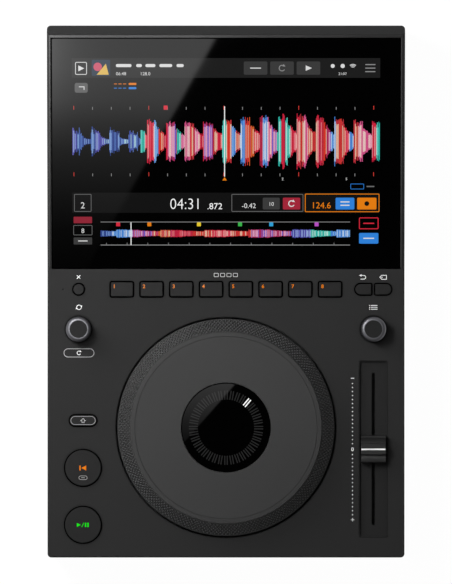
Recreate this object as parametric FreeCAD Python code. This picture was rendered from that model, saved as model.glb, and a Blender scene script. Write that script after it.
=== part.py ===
import FreeCAD, Part
import math
import os
from FreeCAD import Vector

# Tabletop DJ player with a tilted touch screen and a jog wheel.
# Millimetres. +X right, +Y to the screen's end, +Z up, table at Z = 0, origin under the middle.

os.makedirs("parts", exist_ok=True)

# Case
foot_height = 5.0
foot_radius = 11.0
foot_inset_x = 26.0
foot_inset_y = 27.0
floor_thickness = 2.0
wall = 2.5
deck_height = 66.0
seam_height = 24.0
seam_gap = 0.3
lip_thickness = 0.8
lip_rise = 3.0
corner_radius = 2.7
edge_bevel = 1.2
post_radius = 3.0
post_inset = 6.8
pilot_radius = 1.42
screw_radius = 1.4
screw_head_radius = 2.75
screw_head_height = 1.8
screw_hole_radius = 1.7
screw_length = 12.0

# Deck layout
jog_opening_radius = 78.0
column_offset = 26.0
column_inset = 22.0
front_margin = 13.9
row_gap = 19.5
row_to_screen = 14.5
screen_run = 165.1
rear_bevel_run = 6.0
rear_bevel_drop = 6.0
screen_tilt = 9.5

# Screen
glass_side_border = 3.6
glass_front_gap = 0.7
glass_rear_border = 3.5
glass_gap = 0.7
glass_thickness = 2.0
ledge_thickness = 2.5
panel_side_border = 7.9
panel_front_border = 7.1
panel_rear_border = 7.1
panel_thickness = 4.5
panel_clearance = 0.3
panel_opening_clearance = 1.0
bracket_thickness = 1.0
bracket_tab_length = 5.0
bracket_tab_width = 12.0

# Keys
key_flange_clearance = 0.3
key_flange_thickness = 1.2
key_flange_overlap = 1.3
key_foot_radius = 2.0
key_travel = 0.7
key_edge = 0.4
key_foot_clearance = 0.1
hot_cue_count = 8
hot_cue_pitch = 21.0
hot_cue_width = 15.7
hot_cue_depth = 10.1
hot_cue_corner = 1.0
hot_cue_gap = 0.95
hot_cue_rise = 1.2
delete_radius = 3.8
delete_gap = 0.85
delete_rise = 1.2
side_key_width = 11.4
side_key_depth = 7.6
side_key_gap = 0.85
side_key_spacing = 14.1
side_key_rise = 1.2
shift_width = 18.9
shift_depth = 7.7
shift_gap = 0.8
shift_rise = 1.2
shift_from_cue = 33.5
cue_radius = 12.7
cue_gap = 0.8
cue_rise = 1.5
cue_from_play = 40.2
play_from_front = 23.1
button_column_shift = 3.1
light_pipe_radius = 0.6
light_pipe_clearance = 0.05
light_pipe_offset = 11.0

# Boards and switches
board_thickness = 1.6
key_board_depth = 12.4
switch_size = 6.0
switch_height = 3.5
switch_plunger_radius = 1.75
switch_plunger_height = 1.0
standoff_height = 9.0
standoff_radius = 3.0
small_screw_radius = 1.2
small_screw_clearance = 0.02
small_screw_hole_clearance = 0.2
small_screw_length = 6.0
small_head_radius = 2.3
small_head_height = 1.4
heat_sink_from_left = 42.0
heat_sink_from_front = 44.0
heat_sink_depth = 32.0
heat_sink_base = 2.0
heat_sink_height = 12.0
heat_sink_fin_count = 7
heat_sink_fin_pitch = 5.0
heat_sink_fin = 1.6
chip_count = 3
chip_width = 12.0
chip_depth = 10.0
chip_height = 1.2
chip_pitch = 18.0
chips_from_left = 90.0
chips_from_front = 52.0
audio_chip_from_left = 20.0
audio_chip_from_front = 56.0
audio_chip_depth = 18.0
ribbon_socket_rim = 2.0
ribbon_socket_depth = 5.0
ribbon_socket_height = 4.0
ribbon_socket_from_front = 7.0
display_socket_from_front = 34.0
key_ribbon_x = 20.0
transformer_from_left = 10.0
transformer_from_front = 26.0
transformer_width = 26.0
transformer_depth = 24.0
transformer_height = 20.0
capacitor_radius = 7.0
capacitor_height = 24.0
capacitor_from_left = 50.0
capacitor_from_front = 30.0
capacitor_spacing = 18.0
power_sink_from_front = 64.0
power_sink_width = 42.0
power_sink_thickness = 3.0
power_sink_height = 22.0

# Knobs
knob_from_row = 28.1
knob_radius = 8.9
knob_height = 12.6
knob_edge_round = 2.4
knob_disc_radius = 6.2
knob_disc_thickness = 1.2
knob_disc_sink = 0.5
knob_flute_count = 36
knob_flute_radius = 0.45
knob_travel = 0.6
knob_clearance = 0.3
shaft_radius = 3.0
shaft_clearance = 0.05
encoder_width = 12.4
encoder_depth = 13.2
encoder_height = 6.5
bushing_radius = 4.4
bushing_hole_clearance = 0.5
plunger_radius = 2.5
plunger_height = 2.0
plunger_clearance = 0.3

# Tempo fader
fader_from_front = 76.6
fader_travel = 100.0
fader_recess_width = 20.6
fader_recess_margin = 2.65
fader_recess_corner = 1.5
trough_border = 1.7
trough_thickness = 2.0
slot_width = 2.3
slot_margin = 1.7
cap_width = 17.3
cap_length = 19.8
cap_height = 11.5
cap_float = 0.5
cap_ridge_length = 7.0
cap_ridge_side = 0.7
cap_scoop_depth = 3.4
cap_end_drop = 2.3
cap_end_width = 1.6
lever_thickness = 1.2
lever_length = 4.0
lever_grip = 5.0
lever_fit = 0.02
carriage_width = 8.0
carriage_length = 10.0
carriage_height = 4.0
rail_radius = 1.0
rail_spacing = 4.6
rail_clearance = 0.05
fader_body_wall = 1.0
fader_body_width = 11.4
fader_body_height = 9.0
fader_end_margin = 4.0

# Jog wheel
jog_gap = 1.4
jog_rise = 13.0
jog_shoulder = 2.0
jog_skirt = 6.0
ring_wall = 2.5
ring_crest_drop = 1.1
plate_radius = 67.2
plate_gap = 0.35
plate_thickness = 2.4
plate_edge_width = 3.2
plate_edge_drop = 0.2
plate_groove_width = 0.4
plate_groove_depth = 0.25
plate_travel = 0.4
plate_clearance = 0.1
touch_switch_thickness = 0.5
touch_switch_width = 7.5
shelf_thickness = 2.2
shelf_width = 9.55
window_radius = 31.5
window_gap = 0.4
window_thickness = 1.4
window_skirt = 2.3
window_sink = 0.3
window_edge = 0.5
display_thickness = 3.8
display_clearance = 0.1
post_outer_radius = 11.0
post_bore_radius = 8.0
bearing_thickness = 2.0
bearing_clearance = 0.05
bearing_flange_radius = 17.0
bearing_flange_thickness = 1.5
hub_wall = 4.0
hub_flange_thickness = 2.5
hub_flange_drop = 1.0
hub_rise_above_flange = 1.0
hub_collar_radius = 22.0
hub_window_count = 6
hub_window_radius = 11.0
hub_window_circle = 40.0
disc_thickness = 0.8
disc_drop = 8.2
disc_radius = 66.0
disc_slot_count = 60
disc_slot_length = 4.0
disc_slot_margin = 2.0
disc_clearance = 0.02
base_depth = 14.0
base_thickness = 2.0
base_rim_gap = 1.5
base_rim_thickness = 2.5
base_ear_count = 4
base_ear_radius = 4.5
base_ear_reach = 5.0
base_ear_thickness = 2.5
base_boss_height = 5.5
base_boss_radius = 3.2
sensor_width = 12.0
sensor_inset = 6.0
sensor_reach = 4.5
sensor_gap = 0.6
sensor_cap = 2.3

# Rear panel and sockets
recess_depth = 10.5
recess_height = 54.0
rear_panel_thickness = 1.5
socket_clearance = 0.3
main_board_left = -112.0
main_board_right = 42.0
main_board_front = 40.0
power_board_left = 48.0
power_board_right = 112.0
power_board_front = 62.0
board_rear_gap = 2.0
board_screw_inset = 5.0
board_screw_from_rear = 28.0
coax_height = 6.4
coax_radius = 4.15
coax_bore_radius = 1.6
coax_bore_depth = 9.0
coax_length = 8.5
coax_bush_radius = 4.9
coax_bush_proud = 1.0
coax_body = 11.0
coax_body_depth = 12.0
coax_left_x = -98.0
coax_right_x = -84.0
coax_digital_x = -66.0
usb_drive_x = -42.0
usb_computer_x = -20.0
network_x = 6.0
power_button_x = 58.0
power_inlet_x = 88.0
power_button_radius = 5.0
power_button_travel = 2.0
power_button_proud = 3.0
inlet_pin_radius = 1.2
inlet_pin_spacing = 8.6
rear_vent_count = 14
rear_vent_first_x = -80.0
rear_vent_pitch = 7.0
rear_vent_width = 3.0
rear_vent_bottom = 39.0
rear_vent_top = 48.0
floor_vent_rows = 9
floor_vent_pitch = 7.0
floor_vent_length = 20.0
floor_vent_width = 3.0
floor_vent_spacing = 28.0

# Ribbon cables
ribbon_thickness = 0.4
ribbon_bend = 6.0
display_ribbon_width = 20.0
key_ribbon_width = 16.0
jog_ribbon_width = 8.0

# Worked out from the above
half_width = jog_opening_radius + column_offset + column_inset
column_x = jog_opening_radius + column_offset
case_depth = (front_margin + 2 * jog_opening_radius + row_gap + row_to_screen
              + screen_run + rear_bevel_run)
front_y = -case_depth / 2
rear_y = case_depth / 2
jog_y = front_y + front_margin + jog_opening_radius
row_y = jog_y + jog_opening_radius + row_gap
screen_y = row_y + row_to_screen
screen_end_y = screen_y + screen_run
tilt = math.radians(screen_tilt)
slope_length = screen_run / math.cos(tilt)
rear_top = deck_height + screen_run * math.tan(tilt)
under_deck = deck_height - wall
floor_top = foot_height + floor_thickness
glass_half = half_width - glass_side_border
glass_front = glass_front_gap
glass_rear = slope_length - glass_rear_border
panel_half = glass_half - panel_side_border
panel_front = glass_front + panel_front_border
panel_rear = glass_rear - panel_rear_border
key_board_top = deck_height - key_board_depth
switch_top = key_board_top + switch_height + switch_plunger_height
knob_y = row_y - knob_from_row
fader_y = front_y + fader_from_front
fader_recess_length = fader_travel + cap_length + 2 * fader_recess_margin
slot_length = fader_travel + lever_length + 2 * slot_margin
trough_bottom = under_deck - trough_thickness
jog_top = deck_height + jog_rise
jog_ring_radius = jog_opening_radius - jog_gap
base_floor_top = under_deck - base_depth
base_rim_inner = jog_opening_radius + base_rim_gap
base_rim_outer = base_rim_inner + base_rim_thickness
panel_back_y = rear_y - recess_depth - rear_panel_thickness
panel_front_face_y = rear_y - recess_depth
board_bottom = floor_top + standoff_height
board_top = board_bottom + board_thickness
board_rear_y = panel_back_y - board_rear_gap
plate_bottom = jog_top - plate_thickness
shelf_top = plate_bottom - plate_travel - plate_clearance - touch_switch_thickness
post_top = jog_top - window_sink - window_thickness - display_thickness
bearing_outer = post_outer_radius + bearing_thickness
hub_bore = bearing_outer + bearing_clearance
hub_outer = hub_bore + hub_wall
hub_flange_top = deck_height - hub_flange_drop
hub_bottom = base_floor_top + bearing_flange_thickness + bearing_clearance
foot_radius_of_ring = plate_radius + plate_gap - shelf_width
hub_flange_radius = foot_radius_of_ring + ring_wall + 1.5
disc_top = deck_height - disc_drop
boss_top = seam_height - seam_gap
coax_places = (coax_left_x, coax_right_x, coax_digital_x)


def box(x0, x1, y0, y1, z0, z1):
    """Box between two corners."""
    return Part.makeBox(x1 - x0, y1 - y0, z1 - z0, Vector(x0, y0, z0))


def rod(x, y, radius, z0, z1):
    """Upright cylinder."""
    return Part.makeCylinder(radius, z1 - z0, Vector(x, y, z0))


def rod_y(x, z, radius, y0, y1):
    """Cylinder along Y."""
    return Part.makeCylinder(radius, y1 - y0, Vector(x, y0, z), Vector(0, 1, 0))


def tube(x, y, outer, inner, z0, z1):
    """Upright tube."""
    return rod(x, y, outer, z0, z1).cut(rod(x, y, inner, z0 - 1, z1 + 1))


def prism_x(points, x0, x1):
    """Outline of (y, z) points drawn out along X."""
    corners = [Vector(x0, y, z) for y, z in points]
    face = Part.Face(Part.makePolygon(corners + corners[:1]))
    return face.extrude(Vector(x1 - x0, 0, 0))


def turned(points, x=0.0, y=None):
    """Profile of (radius, z) points turned about the upright axis at x, y."""
    centre_y = jog_y if y is None else y
    corners = [Vector(x + r, centre_y, z) for r, z in points]
    face = Part.Face(Part.makePolygon(corners + corners[:1]))
    return face.revolve(Vector(x, centre_y, 0), Vector(0, 0, 1), 360)


def rounded(x, y, width, depth, left, right, z0, z1):
    """Plate with one corner radius at its left end and one at its right end."""
    if min(left, right) > min(width, depth) / 2 - 1e-6 and abs(width - depth) < 1e-6:
        return rod(x, y, width / 2, z0, z1)
    left = min(left, depth / 2)
    right = min(right, depth / 2)
    x0, x1 = x - width / 2, x + width / 2
    y0, y1 = y - depth / 2, y + depth / 2
    corners = [(x1, y0, right, -90), (x1, y1, right, 0), (x0, y1, left, 90), (x0, y0, left, 180)]
    edges = []
    ends = []
    for cx, cy, radius, start in corners:
        px = cx - radius if cx > x else cx + radius
        py = cy - radius if cy > y else cy + radius
        angles = [math.radians(start + turn) for turn in (0, 45, 90)]
        arc = [Vector(px + radius * math.cos(a), py + radius * math.sin(a), z0) for a in angles]
        edges.append(Part.Arc(*arc).toShape())
        ends.append((arc[0], arc[2]))
    for index in range(4):
        start = ends[index][1]
        end = ends[(index + 1) % 4][0]
        if start.distanceToPoint(end) > 1e-6:
            edges.append(Part.LineSegment(start, end).toShape())
    wire = Part.Wire(Part.__sortEdges__(edges))
    return Part.Face(wire).extrude(Vector(0, 0, z1 - z0))


def ring_points(x, y, radius, count, start=0.0):
    """Points evenly spaced round a circle."""
    angles = [math.radians(start + 360.0 * k / count) for k in range(count)]
    return [(x + radius * math.cos(a), y + radius * math.sin(a)) for a in angles]


def tilted(shape):
    """Carry a shape from the screen's own frame (x, along the slope, out of it) to its place."""
    shape.rotate(Vector(0, 0, 0), Vector(1, 0, 0), screen_tilt)
    shape.translate(Vector(0, screen_y, deck_height))
    return shape


def fused(shapes):
    """One solid from touching shapes."""
    return shapes[0].multiFuse(shapes[1:]).removeSplitter() if len(shapes) > 1 else shapes[0]


def save(name, shape):
    """Write one piece, or a group of like pieces, as its own file."""
    solids = shape.Solids
    kept = solids[0] if len(solids) == 1 else Part.makeCompound(solids)
    kept.exportStep("parts/" + name + ".step")


def slope_z(y, depth=0.0):
    """Height of the plane that lies depth under the screen's face."""
    return deck_height + (y - screen_y) * math.tan(tilt) - depth / math.cos(tilt)


# Keys: each has a place, an outline with a radius at either end, a gap and a rise
def key_layout():
    hot_cues = []
    first_x = -hot_cue_pitch * (hot_cue_count - 1) / 2
    for index in range(hot_cue_count):
        hot_cues.append(dict(name="hot_cue_key_" + "abcdefghijkl"[index], x=first_x + index * hot_cue_pitch,
                             y=row_y, width=hot_cue_width, depth=hot_cue_depth, left=hot_cue_corner,
                             right=hot_cue_corner, gap=hot_cue_gap, rise=hot_cue_rise))
    end = side_key_depth / 2
    play_y = front_y + play_from_front
    cue_y = play_y + cue_from_play
    column = -(column_x - button_column_shift)
    others = [
        dict(name="delete_key", x=-column_x, y=row_y, width=2 * delete_radius, depth=2 * delete_radius,
             left=delete_radius, right=delete_radius, gap=delete_gap, rise=delete_rise),
        dict(name="back_key", x=column_x - side_key_spacing / 2, y=row_y, width=side_key_width,
             depth=side_key_depth, left=end, right=0.6, gap=side_key_gap, rise=side_key_rise),
        dict(name="tag_key", x=column_x + side_key_spacing / 2, y=row_y, width=side_key_width,
             depth=side_key_depth, left=0.6, right=end, gap=side_key_gap, rise=side_key_rise),
        dict(name="shift_key", x=column, y=cue_y + shift_from_cue, width=shift_width, depth=shift_depth,
             left=shift_depth / 2, right=shift_depth / 2, gap=shift_gap, rise=shift_rise),
        dict(name="cue_button", x=column, y=cue_y, width=2 * cue_radius, depth=2 * cue_radius,
             left=cue_radius, right=cue_radius, gap=cue_gap, rise=cue_rise),
        dict(name="play_button", x=column, y=play_y, width=2 * cue_radius, depth=2 * cue_radius,
             left=cue_radius, right=cue_radius, gap=cue_gap, rise=cue_rise)]
    return hot_cues + others


def key_outline(key, grow, z0, z1):
    """The key's outline grown by a margin, drawn up between two heights."""
    return rounded(key["x"], key["y"], key["width"] + 2 * grow, key["depth"] + 2 * grow,
                   key["left"] + grow, key["right"] + grow, z0, z1)


def make_key(key):
    """Key cap with a broken top edge, a flange that the deck holds down, and a foot over its switch."""
    flange_top = under_deck - key_flange_clearance
    flange_bottom = flange_top - key_flange_thickness
    top = deck_height + key["rise"]
    cap = key_outline(key, 0, flange_bottom, top)
    rim = [edge for edge in cap.Edges if edge.BoundBox.ZMin > top - 1e-6]
    cap = cap.makeChamfer(key_edge, rim)
    overlap = key["gap"] + key_flange_overlap
    if key["name"] in ("back_key", "tag_key"):
        overlap = side_key_spacing / 2 - side_key_width / 2 - key_flange_clearance / 2
    flange = key_outline(key, overlap, flange_bottom, flange_top)
    foot = rod(key["x"], key["y"], key_foot_radius, switch_top + key_travel + key_foot_clearance,
               flange_bottom)
    return fused([cap, flange, foot])


def fader_recess(grow, z0, z1):
    """The rounded slot in the deck that the fader cap runs in."""
    corner = fader_recess_corner + max(grow, 0)
    return rounded(column_x, fader_y, fader_recess_width + 2 * grow, fader_recess_length + 2 * grow,
                   corner, corner, z0, z1)


def footprint(inset, z0, z1, back=None):
    """The case's plan, set in from its sides by an inset."""
    corner = max(corner_radius - inset, 0.4)
    y0 = front_y + inset
    y1 = rear_y - inset if back is None else back
    return rounded(0, (y0 + y1) / 2, 2 * (half_width - inset), y1 - y0, corner, corner, z0, z1)


def post_places():
    """Screw posts down both sides of the case."""
    x = half_width - post_inset
    rows = (front_y + post_inset + 0.2, knob_y - 16.8, screen_y + 45.0, panel_back_y - 7.0)
    return [(side * x, y) for y in rows for side in (-1, 1)]


def ear_places():
    """Screw places of the jog base, between the deck's boss and the base's ear."""
    return ring_points(0, jog_y, base_rim_outer + base_ear_reach - 1.5, base_ear_count, 45.0)


def key_board_bosses():
    """Bosses that hang from the deck and hold the two key boards."""
    between_keys = hot_cue_pitch * 2
    below_keys = row_y - hot_cue_depth / 2 - hot_cue_gap - key_flange_overlap - base_boss_radius - 0.4
    upper = [(-column_x - 13, knob_y + 16), (column_x + 12.5, knob_y + 14),
             (-between_keys, below_keys), (between_keys, below_keys)]
    side_x = -(column_x - button_column_shift)
    play_y = front_y + play_from_front
    side = [(side_x, play_y + cue_from_play / 2), (side_x - 12, play_y + cue_from_play + 20),
            (side_x + 12, play_y + cue_from_play + 20)]
    return upper + side


def make_top_cover():
    """Deck and screen surround in one moulding: a bent wedge shelled out, with its openings and posts."""
    outline = [(front_y, seam_height), (front_y, deck_height), (screen_y, deck_height),
               (screen_end_y, rear_top), (rear_y, rear_top - rear_bevel_drop), (rear_y, seam_height)]
    body = prism_x(outline, -half_width, half_width)
    body = body.common(footprint(0, seam_height, rear_top + 1))
    top_edges = []
    for edge in body.Edges:
        where = edge.CenterOfMass
        along_side = abs(abs(where.x) - half_width) < corner_radius + 0.1 and where.z > deck_height - 0.1
        along_front = where.y < front_y + corner_radius and where.z > deck_height - 0.1
        if (along_side and where.y < screen_end_y) or along_front:
            top_edges.append(edge)
    body = body.makeChamfer(edge_bevel, top_edges)
    ledge = glass_thickness + ledge_thickness
    step_y = screen_y - 1.5
    rear_in = rear_y - wall
    shelf_top_z = recess_height + wall
    hollow = [(front_y + wall, seam_height - 1), (front_y + wall, under_deck), (step_y, under_deck),
              (step_y, slope_z(step_y, ledge)), (screen_end_y, slope_z(screen_end_y, ledge)),
              (rear_in, rear_top - rear_bevel_drop - 1.0), (rear_in, shelf_top_z),
              (panel_back_y - wall, shelf_top_z), (panel_back_y - wall, seam_height - 1)]
    cavity = prism_x(hollow, -half_width + wall, half_width - wall)
    recess = box(-half_width + wall, half_width - wall, panel_back_y - wall - 1, rear_y + 1,
                 seam_height - 1, recess_height)
    shell = body.cut([cavity, recess])
    posts = [rod(x, y, post_radius, seam_height, rear_top).common(cavity) for x, y in post_places()]
    bosses = [rod(x, y, base_boss_radius, under_deck - base_boss_height, under_deck + 0.5)
              for x, y in ear_places()]
    bosses += [rod(x, y, base_boss_radius, key_board_top, under_deck + 0.5)
               for x, y in key_board_bosses()]
    shell = shell.multiFuse(posts + bosses)
    cuts = [rod(x, y, pilot_radius, seam_height - 1, seam_height + screw_length)
            for x, y in post_places()]
    cuts += [rod(x, y, small_screw_radius + small_screw_clearance, under_deck - base_boss_height - 1,
                 under_deck - 0.5) for x, y in ear_places()]
    cuts += [rod(x, y, small_screw_radius + small_screw_clearance, key_board_top - 1, under_deck - 2)
             for x, y in key_board_bosses()]
    cuts.append(rod(0, jog_y, jog_opening_radius, under_deck - 1, deck_height + 1))
    cuts.append(fader_recess(0, under_deck - 1, deck_height + 1))
    for key in key_layout():
        cuts.append(key_outline(key, key["gap"], under_deck - 1, deck_height + 1))
    for side in (-1, 1):
        cuts.append(rod(side * column_x, knob_y, bushing_radius + bushing_hole_clearance,
                        under_deck - 1, deck_height + 1))
    cuts.append(rod(-column_x - light_pipe_offset, row_y, light_pipe_radius + light_pipe_clearance,
                    under_deck - 1, deck_height + 1))
    cuts.append(tilted(box(-glass_half - glass_gap, glass_half + glass_gap, -0.2, glass_rear + glass_gap,
                           -glass_thickness, 5.0)))
    cuts.append(tilted(box(-panel_half - panel_opening_clearance, panel_half + panel_opening_clearance,
                           panel_front - panel_opening_clearance, panel_rear + panel_opening_clearance,
                           -ledge - 3.0, 0)))
    return shell.cut(cuts)


def make_bottom_chassis():
    """Floor pan with low walls, an inner lip, screw bosses, board standoffs and vent slots."""
    wall_top = seam_height - seam_gap
    lip_outer = wall + 0.2
    lip_inner = lip_outer + lip_thickness
    shell = footprint(0, foot_height, wall_top).cut(footprint(lip_inner, floor_top, wall_top + 1))
    open_back = box(-half_width + wall, half_width - wall, panel_back_y, rear_y + 1, floor_top,
                    wall_top + 1)
    lip = footprint(lip_outer, wall_top - 1.0, wall_top + lip_rise, panel_back_y - 1.0)
    lip = lip.cut(footprint(lip_inner, wall_top - 2, wall_top + lip_rise + 1, panel_back_y + 9))
    shell = shell.cut(open_back)
    adds = [lip]
    head_seat = foot_height + screw_head_height + 0.7
    adds += [rod(x, y, post_radius + 1.5, foot_height, boss_top).common(
        footprint(wall / 2, foot_height, boss_top)) for x, y in post_places()]
    adds += [rod(x, y, standoff_radius, floor_top, board_bottom) for x, y in low_board_screws()]
    shell = shell.multiFuse(adds)
    cuts = [rod(x, y, screw_hole_radius, foot_height - 1, boss_top + 1) for x, y in post_places()]
    cuts += [rod(x, y, screw_head_radius + 0.3, foot_height - 1, head_seat) for x, y in post_places()]
    cuts += [rod(x, y, small_screw_radius + small_screw_clearance, floor_top + 1, board_bottom + 1)
             for x, y in low_board_screws()]
    vent_end = floor_vent_width / 2 - 0.1
    for side in (-1, 1):
        for row in range(floor_vent_rows):
            x = (power_board_left + power_board_right) / 2 + side * floor_vent_spacing / 2
            y = power_board_front + transformer_from_front + (row - floor_vent_rows // 2) * floor_vent_pitch
            cuts.append(rounded(x, y, floor_vent_length, floor_vent_width, vent_end, vent_end,
                                foot_height - 1, floor_top + 1))
    return shell.cut(cuts)


def foot_places():
    x = half_width - foot_inset_x
    y = rear_y - foot_inset_y
    return [(sx * x, sy * y) for sy in (-1, 1) for sx in (-1, 1)]


def make_rubber_feet():
    """Round feet with a tapered side and a hollow in the sole."""
    profile = [(0, 1.2), (foot_radius - 4.5, 1.2), (foot_radius - 4.0, 0), (foot_radius - 1.0, 0),
               (foot_radius, foot_height), (0, foot_height)]
    return Part.makeCompound([turned(profile, x, y) for x, y in foot_places()])


def make_case_screws():
    """Pan-head screws from below, through the chassis bosses into the cover's posts."""
    seat = foot_height + screw_head_height + 0.7
    screws = []
    for x, y in post_places():
        head = rod(x, y, screw_head_radius, seat - screw_head_height, seat)
        shank = rod(x, y, screw_radius, seat, seam_height + screw_length - 2)
        screws.append(fused([head, shank]))
    return Part.makeCompound(screws)


def make_cover_glass():
    """Flat glass over the whole screen, seated on the surround's ledge."""
    width = 2 * glass_half
    depth = glass_rear - glass_front
    plate = rounded(0, (glass_front + glass_rear) / 2, width, depth, 1.0, 1.0, -glass_thickness, 0)
    return tilted(plate)


def make_display_panel():
    """Liquid crystal panel behind the glass."""
    bottom = -glass_thickness - panel_thickness
    sheet = box(-panel_half, panel_half, panel_front, panel_rear, bottom, -glass_thickness)
    return tilted(sheet)


def make_display_bracket():
    """Pressed tray that holds the panel up against the glass, with screw tabs under the ledge."""
    seat = -glass_thickness - ledge_thickness
    bottom = -glass_thickness - panel_thickness - bracket_thickness
    clear = panel_clearance
    outer = box(-panel_half - clear - bracket_thickness, panel_half + clear + bracket_thickness,
                panel_front - clear - bracket_thickness, panel_rear + clear + bracket_thickness,
                bottom, seat)
    inner = box(-panel_half - clear, panel_half + clear, panel_front - clear, panel_rear + clear,
                bottom + bracket_thickness, seat + 1)
    tray = outer.cut(inner)
    edge = panel_half + clear
    tabs = []
    holes = []
    middle = (panel_front + panel_rear) / 2
    reach = (panel_rear - panel_front) / 2 - 24.0
    for side in (-1, 1):
        for v in (middle - reach, middle + reach):
            x0, x1 = sorted((side * edge, side * (edge + bracket_thickness + bracket_tab_length)))
            tabs.append(box(x0, x1, v - bracket_tab_width / 2, v + bracket_tab_width / 2,
                            seat - bracket_thickness, seat))
            hole_x = side * (edge + bracket_thickness + bracket_tab_length / 2)
            holes.append(rod(hole_x, v, 1.3, seat - 2, seat + 1))
    tray = tray.multiFuse(tabs)
    window_depth = (panel_rear - panel_front) * 0.24
    for column in (-1, 0, 1):
        for v in bracket_window_rows():
            x = column * panel_half * 0.64
            holes.append(rounded(x, v, panel_half * 0.42, window_depth, 5.0, 5.0, bottom - 1,
                                 bottom + bracket_thickness + 0.5))
    return tilted(tray.cut(holes))


def bracket_window_rows():
    """Distances up the screen of the bracket's two rows of windows."""
    length = panel_rear - panel_front
    return [panel_front + 0.3 * length, panel_front + 0.7 * length]


def low_board_screws():
    """Standoffs of the main board and the power board."""
    places = []
    boards = [(main_board_left, main_board_right, main_board_front),
              (power_board_left, power_board_right, power_board_front)]
    for left, right, front in boards:
        for x in (left + board_screw_inset, right - board_screw_inset):
            for y in (front + board_screw_inset, board_rear_y - board_screw_from_rear):
                places.append((x, y))
    return places


def make_main_board():
    """Circuit board with its heat sink, chips and the ribbon sockets."""
    board = box(main_board_left, main_board_right, main_board_front, board_rear_y, board_bottom,
                board_top)
    sink_x = main_board_left + heat_sink_from_left
    sink_y = main_board_front + heat_sink_from_front
    sink_width = (heat_sink_fin_count - 1) * heat_sink_fin_pitch + heat_sink_fin
    adds = [box(sink_x, sink_x + sink_width, sink_y, sink_y + heat_sink_depth, board_top,
                board_top + heat_sink_base)]
    for fin in range(heat_sink_fin_count):
        x = sink_x + fin * heat_sink_fin_pitch
        adds.append(box(x, x + heat_sink_fin, sink_y, sink_y + heat_sink_depth, board_top + heat_sink_base,
                        board_top + heat_sink_height))
    for chip in range(chip_count):
        x = main_board_left + chips_from_left + chip * chip_pitch
        y = main_board_front + chips_from_front
        adds.append(box(x, x + chip_width, y, y + chip_depth, board_top, board_top + chip_height))
    x = main_board_left + audio_chip_from_left
    y = main_board_front + audio_chip_from_front
    adds.append(box(x, x + chip_width, y, y + audio_chip_depth, board_top, board_top + chip_height))
    for x, y, width in ribbon_sockets():
        half = width / 2 + ribbon_socket_rim
        adds.append(box(x - half, x + half, y - ribbon_socket_depth / 2, y + ribbon_socket_depth / 2,
                        board_top, board_top + ribbon_socket_height))
    return board.multiFuse(adds).removeSplitter().cut(low_board_holes())


def low_board_holes():
    """Screw holes of the two large boards."""
    radius = small_screw_radius + small_screw_hole_clearance
    return [rod(x, y, radius, board_bottom - 1, board_top + 1) for x, y in low_board_screws()]


def ribbon_sockets():
    """Places and widths of the three ribbon sockets on the main board."""
    y = main_board_front + ribbon_socket_from_front
    return [(key_ribbon_x, y, key_ribbon_width), (0.0, y, jog_ribbon_width),
            (0.0, main_board_front + display_socket_from_front, display_ribbon_width)]


def make_power_board():
    """Supply board with its transformer, two capacitors and a heat sink."""
    board = box(power_board_left, power_board_right, power_board_front, board_rear_y, board_bottom,
                board_top)
    x = power_board_left + transformer_from_left
    y = power_board_front + transformer_from_front
    adds = [box(x, x + transformer_width, y, y + transformer_depth, board_top,
                board_top + transformer_height)]
    y = power_board_front + power_sink_from_front
    adds.append(box(x, x + power_sink_width, y, y + power_sink_thickness, board_top,
                    board_top + power_sink_height))
    for place in (0, 1):
        x = power_board_left + capacitor_from_left
        y = power_board_front + capacitor_from_front + place * capacitor_spacing
        adds.append(rod(x, y, capacitor_radius, board_top, board_top + capacitor_height))
    return board.multiFuse(adds).removeSplitter().cut(low_board_holes())


def make_upper_key_board():
    """Board under the hot cue row, with a wing under each knob."""
    z0 = key_board_top - board_thickness
    edge = half_width - 8.0
    strip = box(-edge, edge, row_y - 9.7, row_y + 11.0, z0, key_board_top)
    wings = [box(-edge, -column_x + 13.6, knob_y - 12.0, row_y, z0, key_board_top),
             box(column_x - 13.6, edge, knob_y - 12.0, row_y, z0, key_board_top)]
    ears = [box(x - 5, x + 5, y - 5, row_y, z0, key_board_top) for x, y in key_board_bosses()[2:4]]
    board = fused([strip] + wings + ears)
    holes = [rod(x, y, small_screw_radius + 0.2, z0 - 1, key_board_top + 1)
             for x, y in key_board_bosses()[:4]]
    return board.cut(holes)


def make_side_key_board():
    """Board under the shift, cue and play keys."""
    z0 = key_board_top - board_thickness
    play_y = front_y + play_from_front
    board = box(-half_width + 8.0, -base_rim_outer - 2.5, play_y - 8.0,
                play_y + cue_from_play + shift_from_cue + 9.0, z0, key_board_top)
    holes = [rod(x, y, small_screw_radius + 0.2, z0 - 1, key_board_top + 1)
             for x, y in key_board_bosses()[4:]]
    return board.cut(holes)


def make_key_switches():
    """A push switch under every key, and one behind the power button."""
    half = switch_size / 2
    switches = []
    for key in key_layout():
        x, y = key["x"], key["y"]
        body = box(x - half, x + half, y - half, y + half, key_board_top, key_board_top + switch_height)
        plunger = rod(x, y, switch_plunger_radius, key_board_top + switch_height, switch_top)
        switches.append(fused([body, plunger]))
    stem_end = power_stem_end()
    z = board_top + coax_height
    body = box(power_button_x - 5, power_button_x + 5, stem_end - power_button_travel - 9.0,
               stem_end - power_button_travel - 0.5, board_top, z + 5)
    switches.append(body)
    return Part.makeCompound(switches)


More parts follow.
